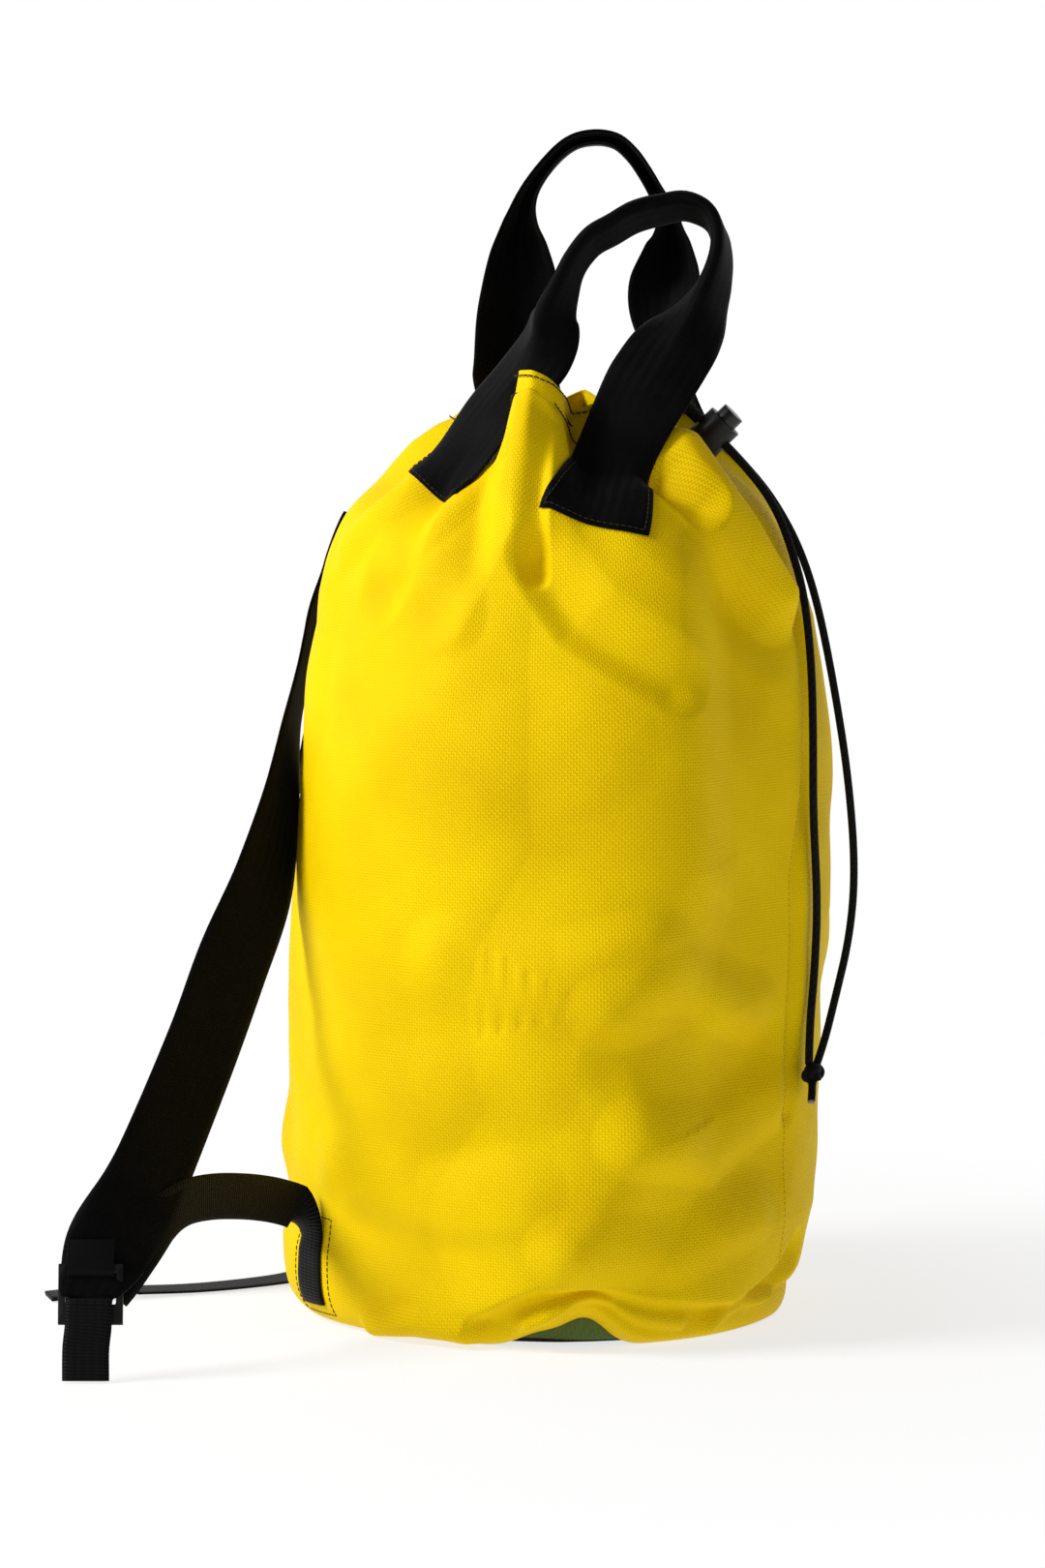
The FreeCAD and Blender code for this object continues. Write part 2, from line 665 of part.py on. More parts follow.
BAND_TURN = (-0.50, -0.66, 0.56)
add_shape(ribbon([
    ((-132.0, -29.3, 404), (0.217, -0.976, 0), 44, 2.5),
    ((-139.0, -35.0, 368), (0.23, -0.97, 0), 42, 2.5),
    ((-143.5, -53, 331), (0.22, -0.97, 0.1), 36, 2.5),
    ((-140.5, -80, 285), (-0.10, -0.86, 0.4), 40, 2.5),
    ((-135.0, -106, 250), (-0.40, -0.75, 0.5), 43, 2.5),
    ((-133.5, -118, 236), (-0.44, -0.72, 0.52), 43, 2.5)]), "left_shoulder_strap_top")
add_shape(ribbon([
    ((-133.0, -125, 227), (-0.47, -0.70, 0.54), 43, 2.5),
    ((-131.5, -150, 203), BAND_TURN, 43, 2.5),
    ((-130.5, -187, 162), BAND_TURN, 43, 2.5),
    ((-132.5, -225, 121), BAND_TURN, 44, 3.0),
    ((-138.0, -255, 94), (-0.70, -0.50, 0.4), 40, 6.0),
    ((-144.5, -272, 85.5), (-0.927, -0.375, 0), 34, 12.0),
    ((-147.6, -281.5, 78), (-0.927, -0.375, 0), 31, 12.0),
    ((-147.4, -284.0, 66.5), (-0.927, -0.375, 0), 30, 12.0)]), "left_shoulder_strap")
add_shape(ribbon([
    ((-132.0, 29.3, 404), (0.217, 0.976, 0), 44, 2.5),
    ((-140.2, 27.5, 366), (0.19, 0.98, 0), 44, 2.5),
    ((-151.0, 17.5, 331), (0.0, 1.0, 0), 44, 2.5),
    ((-161.5, 2.5, 287), (-0.3, 0.95, -0.1), 44, 2.5),
    ((-165.5, -5.5, 273), (-0.38, 0.92, -0.13), 44, 2.5)]), "right_shoulder_strap_top")
add_shape(ribbon([
    ((-167.5, -8.0, 264), (-0.41, 0.90, -0.13), 44, 2.5),
    ((-174.5, -17.0, 238), (-0.41, 0.90, -0.13), 44, 2.5),
    ((-185.0, -30.0, 193), (-0.41, 0.90, -0.13), 44, 2.5),
    ((-199.0, -44.0, 140), (-0.41, 0.90, -0.13), 44, 2.5),
    ((-212.0, -54.5, 98), (-0.45, 0.88, -0.10), 44, 2.5),
    ((-223.0, -64.0, 66), (-0.55, 0.84, 0), 38, 5.0),
    ((-231.0, -71.5, 44), (-0.62, 0.78, 0), 32, 10.0),
    ((-234.5, -75.0, 34), (-0.62, 0.78, 0), 30, 10.0)]), "right_shoulder_strap")

UPRIGHT = (0.0, 0.0, 1.0)
add_shape(ribbon([
    ((-100.8, -129.0, 67.5), UPRIGHT, 25, 1.6), ((-101.0, -154, 75), UPRIGHT, 25, 1.6),
    ((-105.0, -180, 81), UPRIGHT, 25, 1.6), ((-113.0, -210, 84.5), UPRIGHT, 25, 1.6),
    ((-116.5, -236, 76), (-0.05, 0.0, 1), 25, 1.6),
    ((-123.0, -254, 63), (-0.30, 0.0, 0.95), 25, 1.6),
    ((-132.0, -266, 51), (-0.70, -0.2, 0.6), 25, 1.6),
    ((-141.0, -274, 43.5), (-0.90, -0.36, 0.2), 25, 1.6)]), "left_lower_webbing")
add_shape(ribbon([
    ((-161.5, 22.0, 1.6), (0.98, 0.2, 0), 25, 1.6), ((-168.0, 0.0, 1.6), (0.9, -0.4, 0), 25, 1.6),
    ((-185.0, -27.0, 1.6), (0.78, -0.62, 0), 25, 1.6),
    ((-206.0, -50.0, 1.6), (0.68, -0.73, 0), 25, 1.6),
    ((-229.0, -70.5, 1.6), (0.62, -0.78, 0), 25, 1.6)]), "right_lower_webbing")
add_shape(ribbon([
    ((-100.9, -113.9, 57.0), (0.75, -0.66, 0), 25, 1.6),
    ((-104.0, -117.4, 66.0), (0.75, -0.66, 0), 25, 1.6)]), "left_webbing_turn")
add_shape(ribbon([
    ((-100.9, 113.9, 57.0), (0.75, 0.66, 0), 25, 1.6),
    ((-104.5, 117.0, 63.0), (0.72, 0.68, 0), 25, 1.6),
    ((-114.0, 121.0, 63.0), (0.72, 0.62, 0), 25, 1.6),
    ((-124.5, 118.0, 48.0), (0.8, 0.6, 0), 25, 1.6),
    ((-135.0, 105.0, 25.0), (0.85, 0.5, 0), 25, 1.6),
    ((-145.5, 82.0, 6.5), (0.92, 0.35, 0), 25, 1.6),
    ((-152.5, 58.0, 1.6), (0.96, 0.25, 0), 25, 1.6),
    ((-159.5, 30.0, 1.6), (0.98, 0.2, 0), 25, 1.6)]), "right_webbing_turn")

# --- Ladder locks, their keeper loops and the webbing tails ----------------------------

buckle_across = size("buckle_width")
slot_left = (buckle_across - size("buckle_slot_width")) / 2.0
slot_right = slot_left + size("buckle_slot_width")
top_edge = size("buckle_length")
bar = size("buckle_bar")
opening = size("buckle_slot")


def buckle_placement(bar_centre, across, upward):
    """The lock's frame: origin on the top bar, X across, Y up the strap."""
    turn = Rotation(Vector(*across), Vector(*upward), Vector(), "XYZ")
    return Placement(Vector(*bar_centre), turn)


def from_top_bar(placement, left, down, below):
    """A placement whose own corner lies left, down and below the top bar's centre."""
    return placement.multiply(Placement(Vector(-left, -down, -below), Rotation()))


def ladder_lock(name):
    """A plate with a slot for the keeper and a slot for the webbing."""
    upper_high = top_edge - bar
    lower_high = upper_high - opening - bar
    return padded_body(
        name, size("buckle_thickness"),
        rectangle(nothing, nothing, buckle_across, top_edge),
        rectangle(slot_left, upper_high - opening, slot_right, upper_high),
        rectangle(slot_left, lower_high - opening, slot_right, lower_high))


def keeper_loop(name):
    """A short webbing loop, as a U round the top bar, padded across the webbing."""
    inner = size("keeper_radius")
    outer = inner + size("keeper_thickness")
    height = size("keeper_length") + outer
    return padded_body(name, size("keeper_width"), [
        (nothing, outer), (outer * 2.0, outer, outer), (outer * 2.0, height),
        (outer + inner, height), (outer + inner, outer),
        (outer - inner, outer, inner * -1.0), (outer - inner, height), (nothing, height)])


BUCKLES = [
    ("left", (-147.5, -285.5, 58.0), (0.927, 0.375, 0.0), (-0.05, 0.20, 0.975)),
    ("right", (-236.0, -76.0, 22.5), (0.62, -0.785, 0.0), (0.60, 0.47, 0.645)),
]
for side, centre, across, upward in BUCKLES:
    frame = buckle_placement(centre, across, upward)
    plate = ladder_lock(side.title() + "Buckle")
    plate.Placement = from_top_bar(
        frame, buckle_across.value / 2.0, top_edge.value - bar.value / 2.0,
        size("buckle_thickness").value / 2.0)
    keep(plate, side + "_ladder_lock")
    loop = keeper_loop(side.title() + "Keeper")
    reach = size("keeper_radius").value + size("keeper_thickness").value
    turned = frame.multiply(Placement(Vector(), Rotation(Vector(0, 1, 0), -90)))
    loop.Placement = turned.multiply(
        Placement(Vector(-reach, -reach, -size("keeper_width").value / 2.0), Rotation()))
    keep(loop, side + "_lock_keeper")

SLOT_TO_LIP = [(-14.6, -4.0), (-17.2, 3.8), (-22.0, 4.6), (-31.0, 3.6)]
TAIL_FOLD = 2.8


def webbing_tail(buckle, onward):
    """The webbing from the lower slot, over the lock's lip and on to its folded end."""
    _, centre, across, upward = buckle
    frame = buckle_placement(centre, across, upward)
    width = size("narrow_width").value - 0.4
    thickness = size("narrow_thickness").value
    places = [frame.multVec(Vector(0, up, out)) for up, out in SLOT_TO_LIP]
    places += [Vector(*place) for place in onward]
    stations = [(tuple(place), across, width, thickness) for place in places]
    stations[-1] = stations[-1][:3] + (TAIL_FOLD,)
    return ribbon(stations)


add_shape(webbing_tail(BUCKLES[0], [(-145.0, -297.0, 17.0), (-144.2, -299.0, 1.0)]),
          "left_webbing_tail")
add_shape(webbing_tail(BUCKLES[1], [(-261.5, -96.5, 2.4), (-269.0, -102.5, 1.6)]),
          "right_webbing_tail")

# --- Checks and files --------------------------------------------------------------------

doc.recompute()
for item in doc.Objects:
    states = " ".join(item.State)
    if "Invalid" in states or "Error" in states:
        raise RuntimeError("%s did not compute: %s" % (item.Label, states))
for item in sub_parts:
    if item.Shape.isNull() or not item.Shape.isValid():
        raise RuntimeError("%s has no valid shape" % item.Label)
os.makedirs("parts", exist_ok=True)
for item in sub_parts:
    item.Shape.exportStep(os.path.join("parts", item.Label + ".step"))
print("%d sub-parts written" % len(sub_parts))
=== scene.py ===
"""A gathered rope bag: its cloth, webbing, cords and small hardware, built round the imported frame.

Lengths are in millimetres until a mesh is made; +X is the side seam with the
drawcord, -X the back with the shoulder straps, and +Z is up.
"""

import logging
import math
from dataclasses import dataclass
from enum import Enum
from typing import Any, Optional, Sequence

import bmesh
import bpy
import numpy as np
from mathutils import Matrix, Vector


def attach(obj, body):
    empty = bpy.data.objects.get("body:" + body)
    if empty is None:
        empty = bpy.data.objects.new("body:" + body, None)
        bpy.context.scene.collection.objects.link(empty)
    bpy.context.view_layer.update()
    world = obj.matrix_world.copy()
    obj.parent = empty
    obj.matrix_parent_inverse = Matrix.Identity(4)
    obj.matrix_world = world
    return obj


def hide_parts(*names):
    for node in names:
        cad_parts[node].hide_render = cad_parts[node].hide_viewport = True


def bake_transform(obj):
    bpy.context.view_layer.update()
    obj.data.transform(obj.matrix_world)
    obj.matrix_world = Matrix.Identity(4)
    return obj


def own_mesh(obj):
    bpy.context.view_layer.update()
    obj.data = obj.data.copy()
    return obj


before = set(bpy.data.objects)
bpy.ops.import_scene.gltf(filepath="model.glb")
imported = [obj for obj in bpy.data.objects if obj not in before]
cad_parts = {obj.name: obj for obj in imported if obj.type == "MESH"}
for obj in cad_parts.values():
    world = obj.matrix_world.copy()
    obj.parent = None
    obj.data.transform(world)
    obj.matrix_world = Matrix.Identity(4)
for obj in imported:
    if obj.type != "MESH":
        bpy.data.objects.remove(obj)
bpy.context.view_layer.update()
MM = 0.001
SELVEDGE_SHARE = 0.45       # how thick the edge of a band is, of its middle
CREASE_SHARPNESS = 0.11     # share of a folded band's half width that its crease takes up
THREAD_SIDES = 5            # corners of a stitch's section
WELD_DISTANCE = 1e-6
FLOOR_REACH = 40000.0
FLOOR_DROP = 0.2
log = logging.getLogger("rope_bag")


class Slot(str, Enum):
    """The record's material slots."""

    YELLOW_CLOTH = "yellow_coated_cloth"
    GREEN_CLOTH = "green_base_cloth"
    TAPE = "binding_tape"
    WIDE_WEBBING = "black_wide_webbing"
    RIBBED_WEBBING = "black_ribbed_webbing"
    BACKING = "anchor_backing_cloth"
    CORD = "black_cord"
    MOULDING = "black_moulded_plastic"
    BUTTON = "black_button_plastic"
    EYELET = "eyelet_metal"
    SPRING = "spring_steel"


# --- Small numeric helpers ----------------------------------------------------

def smoothstep(value: Any, low: float, high: float) -> Any:
    """A soft step from 0 at low to 1 at high."""
    share = np.clip((value - low) / (high - low), 0.0, 1.0)
    return share * share * (3.0 - 2.0 * share)


def unit(vectors: np.ndarray) -> np.ndarray:
    """The same directions with length 1."""
    return vectors / np.maximum(np.linalg.norm(vectors, axis=-1, keepdims=True), 1e-9)


def metres(point: Sequence[float]) -> tuple[float, ...]:
    """A point in millimetres, in metres."""
    return tuple(value * MM for value in point)


def run_length(points: np.ndarray) -> np.ndarray:
    """Distance along a line at each of its points."""
    steps = np.linalg.norm(np.diff(points, axis=0), axis=1)
    return np.concatenate([[0.0], np.cumsum(steps)])


def smooth_line(stations: np.ndarray, step: float) -> np.ndarray:
    """A smooth run through stations, sampled evenly.

    Args:
        stations: Rows whose first three columns are a point; the rest ride along.
        step: Spacing along the run.

    Returns:
        Rows of the same columns, about one step apart.
    """
    ends = np.vstack([2 * stations[0] - stations[1], stations, 2 * stations[-1] - stations[-2]])
    fine = []
    share = np.linspace(0.0, 1.0, 24, endpoint=False)[:, None]
    for before, first, last, after in zip(ends, ends[1:], ends[2:], ends[3:]):
        fine.append(0.5 * (2 * first + (last - before) * share
                           + (2 * before - 5 * first + 4 * last - after) * share ** 2
                           + (3 * first - 3 * last + after - before) * share ** 3))
    dense = np.vstack(fine + [stations[-1:]])
    along = run_length(dense[:, :3])
    wanted = np.linspace(0.0, along[-1], max(int(along[-1] / step), 2) + 1)
    return np.column_stack([np.interp(wanted, along, dense[:, c]) for c in range(dense.shape[1])])


# --- Meshes -----------------------------------------------------------------------

def new_object(name: str, points: np.ndarray, faces: Sequence[Sequence[int]],
               uvs: Optional[np.ndarray] = None) -> bpy.types.Object:
    """A smooth-shaded mesh object from points in millimetres.

    Args:
        name: The piece's name.
        points: Vertex places.
        faces: Corners of each face.
        uvs: One pair for each vertex, in millimetres on the cloth.

    Returns:
        The new object, linked to the scene.
    """
    mesh = bpy.data.meshes.new(name)
    mesh.from_pydata((points * MM).tolist(), [], [list(map(int, face)) for face in faces])
    if uvs is not None:
        layer = mesh.uv_layers.new(name="cloth")
        corners = np.zeros(len(mesh.loops), np.int32)
        mesh.loops.foreach_get("vertex_index", corners)
        layer.data.foreach_set("uv", (uvs[corners] * MM).astype(np.float32).ravel())
    mesh.polygons.foreach_set("use_smooth", [True] * len(mesh.polygons))
    mesh.validate()
    mesh.update()
    made = bpy.data.objects.new(name, mesh)
    bpy.context.scene.collection.objects.link(made)
    return made


def grid_faces(rows: int, columns: int, wrap: bool) -> np.ndarray:
    """Quads of a grid of vertices, closed across where wrap is set."""
    across = columns if wrap else columns - 1
    row, column = np.meshgrid(np.arange(rows - 1), np.arange(across), indexing="ij")
    following = (column + 1) % columns
    return np.stack([row * columns + column, row * columns + following,
                     (row + 1) * columns + following, (row + 1) * columns + column],
                    axis=-1).reshape(-1, 4)


def grid_normals(grid: np.ndarray) -> np.ndarray:
    """Unit normals of a grid of points, from its rows and columns."""
    return unit(np.cross(np.gradient(grid, axis=1), np.gradient(grid, axis=0)))


def thick_band(name: str, middle: np.ndarray, thickness: Any) -> bpy.types.Object:
    """A closed strip with soft selvedges round a grid of mid-surface points.

    Args:
        name: The piece's name.
        middle: Rows along the strip, columns across it.
        thickness: One thickness, or one for each row.

    Returns:
        The strip, with UVs in real millimetres.
    """
    rows, columns = middle.shape[:2]
    half = np.broadcast_to(np.asarray(thickness, float) / 2.0, (rows,))[:, None, None]
    normal = grid_normals(middle)
    edge_inset = np.ones((1, columns, 1))
    edge_inset[0, [0, -1], 0] = SELVEDGE_SHARE
    top = middle + normal * half * edge_inset
    bottom = middle - normal * half * edge_inset
    loop = np.concatenate([top, bottom[:, ::-1]], axis=1)
    along = run_length(middle[:, columns // 2])
    wide = np.linalg.norm(np.diff(middle, axis=1), axis=2)
    across = np.concatenate([np.zeros((rows, 1)), np.cumsum(wide, axis=1)], axis=1)
    across -= across[:, -1:] / 2.0
    v_grid = np.broadcast_to(along[:, None], (rows, columns))
    sheet_uv = np.stack([across, v_grid], axis=-1)
    uvs = np.concatenate([sheet_uv, sheet_uv[:, ::-1]], axis=1).reshape(-1, 2)
    count = 2 * columns
    faces = grid_faces(rows, count, True).tolist()
    last = (rows - 1) * count
    for column in range(columns - 1):
        twin = count - 1 - column
        faces.append([column + 1, column, twin, twin - 1])
        faces.append([last + column, last + column + 1, last + twin - 1, last + twin])
    return new_object(name, loop.reshape(-1, 3), faces, uvs)


def folded_grid(stations: np.ndarray, columns: int = 15) -> np.ndarray:
    """Mid-surface points of webbing that can fold lengthwise.

    Args:
        stations: Rows of centre, direction across, width and fold angle in degrees.
        columns: Points across.

    Returns:
        The points as rows along and columns across.
    """
    centre, across, width, fold = (stations[:, :3], stations[:, 3:6], stations[:, 6],
                                   np.radians(stations[:, 7]))
    along = unit(np.gradient(centre, axis=0))
    across = unit(across - along * np.sum(across * along, axis=1, keepdims=True))
    depth = np.cross(along, across)
    place = np.linspace(-1.0, 1.0, columns)
    slope = fold[:, None] * np.tanh(place / CREASE_SHARPNESS)[None, :]
    step = width[:, None] / (columns - 1)
    mid_slope = (slope[:, 1:] + slope[:, :-1]) / 2.0
    zero = np.zeros((len(stations), 1))
    flat = np.concatenate([zero, np.cumsum(np.cos(mid_slope) * step, axis=1)], axis=1)
    rise = np.concatenate([zero, np.cumsum(np.sin(mid_slope) * step, axis=1)], axis=1)
    flat -= flat.mean(axis=1, keepdims=True)
    rise -= rise.mean(axis=1, keepdims=True)
    return (centre[:, None] + across[:, None] * flat[..., None]
            + depth[:, None] * rise[..., None])


def soften_rows(grid: np.ndarray, first: int, last: int, rounds: int) -> np.ndarray:
    """Smooth a grid along its rows between two rows, easing in and out."""
    grid = grid.copy()
    first, last = max(first, 1), min(last, len(grid) - 1)
    span = np.arange(first, last)
    ease = np.sin(np.pi * (span - first + 1) / (last - first + 1))[:, None, None]
    for _ in range(rounds):
        mean = (grid[span - 1] + grid[span + 1]) / 2.0
        grid[span] += (mean - grid[span]) * ease * 0.9
    return grid


def turned_like(patch: np.ndarray, row: int, free_row: np.ndarray) -> np.ndarray:
    """A sewn patch with its columns in the same order as the free band that joins it."""
    if np.dot(patch[row, -1] - patch[row, 0], free_row[-1] - free_row[0]) < 0:
        return patch[:, ::-1]
    return patch


def stitch_run(name: str, line: np.ndarray, outward: np.ndarray, length: float = 2.7,
               gap: float = 0.7, radius: float = 0.32) -> bpy.types.Object:
    """A run of lock stitches as one mesh of short, half-sunk threads.

    Args:
        name: The piece's name.
        line: Points along the seam, on the cloth.
        outward: The cloth's normal at each point.
        length: Visible length of a stitch.
        gap: Distance between stitches.
        radius: Radius of the thread.

    Returns:
        The stitches.
    """
    rows = np.hstack([line, outward])
    along = run_length(line)
    shape = ((0.0, 0.35, -0.3), (0.12, 0.85, 0.35), (0.5, 1.0, 0.55), (0.88, 0.85, 0.35),
             (1.0, 0.35, -0.3))

    def at(distance: float) -> np.ndarray:
        """The seam's point and normal at a distance along it."""
        return np.array([np.interp(distance, along, rows[:, column]) for column in range(6)])

    points, faces = [], []
    for start in np.arange(0.0, along[-1] - length, length + gap):
        base = len(points)
        for share, swell, lift in shape:
            here = start + share * length
            place, ahead, behind = at(here), at(here + 0.5)[:3], at(here - 0.5)[:3]
            normal = unit(place[3:])
            side = unit(np.cross(ahead - behind, normal))
            for turn in range(THREAD_SIDES):
                angle = 2.0 * math.pi * turn / THREAD_SIDES
                points.append(place[:3] + normal * (lift + math.sin(angle) * swell) * radius
                              + side * math.cos(angle) * swell * radius)
        rings = grid_faces(len(shape), THREAD_SIDES, True) + base
        faces.extend(rings.tolist())
        far = base + (len(shape) - 1) * THREAD_SIDES
        faces.append([base + turn for turn in range(THREAD_SIDES - 1, -1, -1)])
        faces.append([far + turn for turn in range(THREAD_SIDES)])
    return new_object(name, np.array(points), faces)


# --- Materials ------------------------------------------------------------------------

def linear(code: str) -> tuple[float, float, float, float]:
    """An sRGB hex colour as linear red, green, blue and alpha."""
    channels = [int(code[place:place + 2], 16) / 255.0 for place in (1, 3, 5)]
    straight = [c / 12.92 if c <= 0.04045 else ((c + 0.055) / 1.055) ** 2.4 for c in channels]
    return (*straight, 1.0)


def add_node(tree: bpy.types.NodeTree, kind: str, settings: Optional[dict[str, Any]] = None,
             links: Optional[dict[Any, Any]] = None) -> bpy.types.Node:
    """Add a shader node, set it up and link it.

    Args:
        tree: The material's node tree.
        kind: The node's type name.
        settings: Attribute values by name, or socket values by name or number.
        links: An output socket for each input, by name or number.

    Returns:
        The new node.
    """
    node = tree.nodes.new(kind)
    for name, value in (settings or {}).items():
        if isinstance(name, str) and hasattr(node, name):
            setattr(node, name, value)
        else:
            node.inputs[name].default_value = value
    for name, output in (links or {}).items():
        tree.links.new(output, node.inputs[name])
    return node


@dataclass(frozen=True)
class Finish:
    """A material: how the real one is made, and what that gives the eye."""

    name: str
    base: str
    roughness: float = 0.6
    specular: float = 0.5

    def build(self) -> bpy.types.Material:
        """Make the material with this finish's own pattern."""
        material = bpy.data.materials.new(self.name)
        material.use_nodes = True
        tree = material.node_tree
        shader = tree.nodes["Principled BSDF"]
        shader.inputs["Base Color"].default_value = linear(self.base)
        shader.inputs["Roughness"].default_value = self.roughness
        shader.inputs["Specular IOR Level"].default_value = self.specular
        self.dress(tree, shader)
        return material

    def dress(self, tree: bpy.types.NodeTree, shader: bpy.types.Node) -> None:
        """Add the pattern of this finish; a plain one has none."""

    def cloth_place(self, tree: bpy.types.NodeTree) -> bpy.types.NodeSocket:
        """The place on the flat cloth, in metres."""
        return add_node(tree, "ShaderNodeUVMap", {"uv_map": "cloth"}).outputs[0]

    def wave(self, tree: bpy.types.NodeTree, place: bpy.types.NodeSocket, direction: str,
             period_mm: float, waver: float = 0.0) -> bpy.types.NodeSocket:
        """Rounded threads side by side, one each period."""
        return add_node(
            tree, "ShaderNodeTexWave",
            {"wave_type": "BANDS", "bands_direction": direction, "wave_profile": "SIN",
             "Scale": math.pi / 10.0 / (period_mm * MM), "Distortion": waver,
             "Detail": 1.0}, {0: place}).outputs["Fac"]

    def mottle(self, tree: bpy.types.NodeTree, size_mm: float, place: Any = None,
               detail: float = 3.0) -> bpy.types.NodeSocket:
        """Soft random patches of about the given size."""
        where = place or add_node(tree, "ShaderNodeTexCoord").outputs["Object"]
        return add_node(tree, "ShaderNodeTexNoise",
                        {"Scale": 1.0 / (size_mm * MM), "Detail": detail}, {0: where}).outputs["Fac"]

    def blend(self, tree: bpy.types.NodeTree, share: Any, low: str, high: str) -> Any:
        """A colour between two hex colours, by a share from 0 to 1."""
        ramp = add_node(tree, "ShaderNodeValToRGB", links={0: share})
        ramp.color_ramp.elements[0].position = 0.3
        ramp.color_ramp.elements[1].position = 0.7
        ramp.color_ramp.elements[0].color = linear(low)
        ramp.color_ramp.elements[1].color = linear(high)
        return ramp.outputs[0]

    def spread(self, tree: bpy.types.NodeTree, value: Any, low: float, high: float) -> Any:
        """A 0 to 1 value spread over another range."""
        return add_node(tree, "ShaderNodeMapRange", {3: low, 4: high}, {0: value}).outputs[0]

    def mathed(self, tree: bpy.types.NodeTree, action: str, first: Any, second: Any) -> Any:
        """A math node on two sockets or numbers."""
        node = add_node(tree, "ShaderNodeMath", {"operation": action})
        for index, value in enumerate((first, second)):
            if isinstance(value, (int, float)):
                node.inputs[index].default_value = value
            else:
                tree.links.new(value, node.inputs[index])
        return node.outputs[0]

    def bump(self, tree: bpy.types.NodeTree, shader: bpy.types.Node, height: Any,
             depth_mm: float, strength: float = 1.0, under: Any = None) -> Any:
        """Raise the surface by a height of 0 to 1 times a depth."""
        node = add_node(tree, "ShaderNodeBump", {"Strength": strength, "Distance": depth_mm * MM},
                        {"Height": height})
        if under is not None:
            tree.links.new(under, node.inputs["Normal"])
        tree.links.new(node.outputs[0], shader.inputs["Normal"])
        return node.outputs[0]


@dataclass(frozen=True)
class CoatedOxford(Finish):
    """Plain-woven polyester with a polyurethane coat: a fine grid of threads that
    catches a satin light, over broad soft unevenness where the cloth is handled."""

    thread_mm: float = 1.5      # real threads are 0.5 mm apart, too fine to show
    light: str = "#f6d200"
    worn: str = "#edc500"

    def dress(self, tree: bpy.types.NodeTree, shader: bpy.types.Node) -> None:
        """Plain weave over and under, with mottled colour and gloss."""
        place = self.cloth_place(tree)
        warp = self.wave(tree, place, "X", self.thread_mm, 0.25)
        weft = self.wave(tree, place, "Y", self.thread_mm, 0.25)
        checker = add_node(tree, "ShaderNodeTexChecker", {"Scale": 1.0 / (self.thread_mm * MM)},
                           {0: place}).outputs["Fac"]
        over = add_node(tree, "ShaderNodeMix", {}, {"Factor": checker, 2: warp, 3: weft}).outputs[0]
        patches = self.mottle(tree, 60.0)
        colour = self.blend(tree, patches, self.worn, self.light)
        shade = self.spread(tree, over, 0.85, 1.05)
        tinted = add_node(tree, "ShaderNodeVectorMath", {"operation": "SCALE"},
                          {0: colour, "Scale": shade}).outputs[0]
        tree.links.new(tinted, shader.inputs["Base Color"])
        gloss = self.spread(tree, self.mottle(tree, 25.0), self.roughness - 0.07,
                            self.roughness + 0.07)
        tree.links.new(gloss, shader.inputs["Roughness"])
        soft = self.bump(tree, shader, self.mottle(tree, 9.0, detail=2.0), 0.25, 0.5)
        self.bump(tree, shader, over, 0.22, 0.8, soft)


@dataclass(frozen=True)
class SmoothWebbing(Finish):
    """Tightly woven nylon webbing: fine herringbone columns along its length, black,
    with a grey sheen where the light grazes it and slightly fuzzy selvedges."""

    column_mm: float = 6.0
    rib_mm: float = 1.3
    sheen: float = 0.03

    def dress(self, tree: bpy.types.NodeTree, shader: bpy.types.Node) -> None:
        """Herringbone columns and fine ribs as bump, mottled black."""
        place = self.cloth_place(tree)
        parts = add_node(tree, "ShaderNodeSeparateXYZ", links={0: place})
        zigzag = self.mathed(tree, "PINGPONG", parts.outputs[0], self.column_mm * MM / 2.0)
        slanted = self.mathed(tree, "ADD", parts.outputs[1], zigzag)
        phase = self.mathed(tree, "MULTIPLY", slanted, 2.0 * math.pi / (self.rib_mm * MM))
        ribs = self.spread(tree, self.mathed(tree, "SINE", phase, 0.0), 0.0, 1.0)
        patches = self.mottle(tree, 14.0)
        colour = self.blend(tree, patches, self.base, "#050506")
        tree.links.new(colour, shader.inputs["Base Color"])
        shader.inputs["Sheen Weight"].default_value = self.sheen
        shader.inputs["Sheen Roughness"].default_value = 0.4
        self.bump(tree, shader, ribs, 0.18, 0.6)


@dataclass(frozen=True)
class RibbedWebbing(SmoothWebbing):
    """Polypropylene webbing: coarse ribs straight across it, waxy and black."""

    def dress(self, tree: bpy.types.NodeTree, shader: bpy.types.Node) -> None:
        """Cross ribs as bump and colour."""
        place = self.cloth_place(tree)
        ribs = self.wave(tree, place, "Y", self.rib_mm)
        columns = self.wave(tree, place, "X", self.column_mm)
        height = self.mathed(tree, "ADD", self.mathed(tree, "MULTIPLY", columns, 0.3), ribs)
        tree.links.new(self.blend(tree, ribs, self.base, "#0a0a0a"), shader.inputs["Base Color"])
        shader.inputs["Sheen Weight"].default_value = self.sheen
        self.bump(tree, shader, height, 0.35, 0.8)


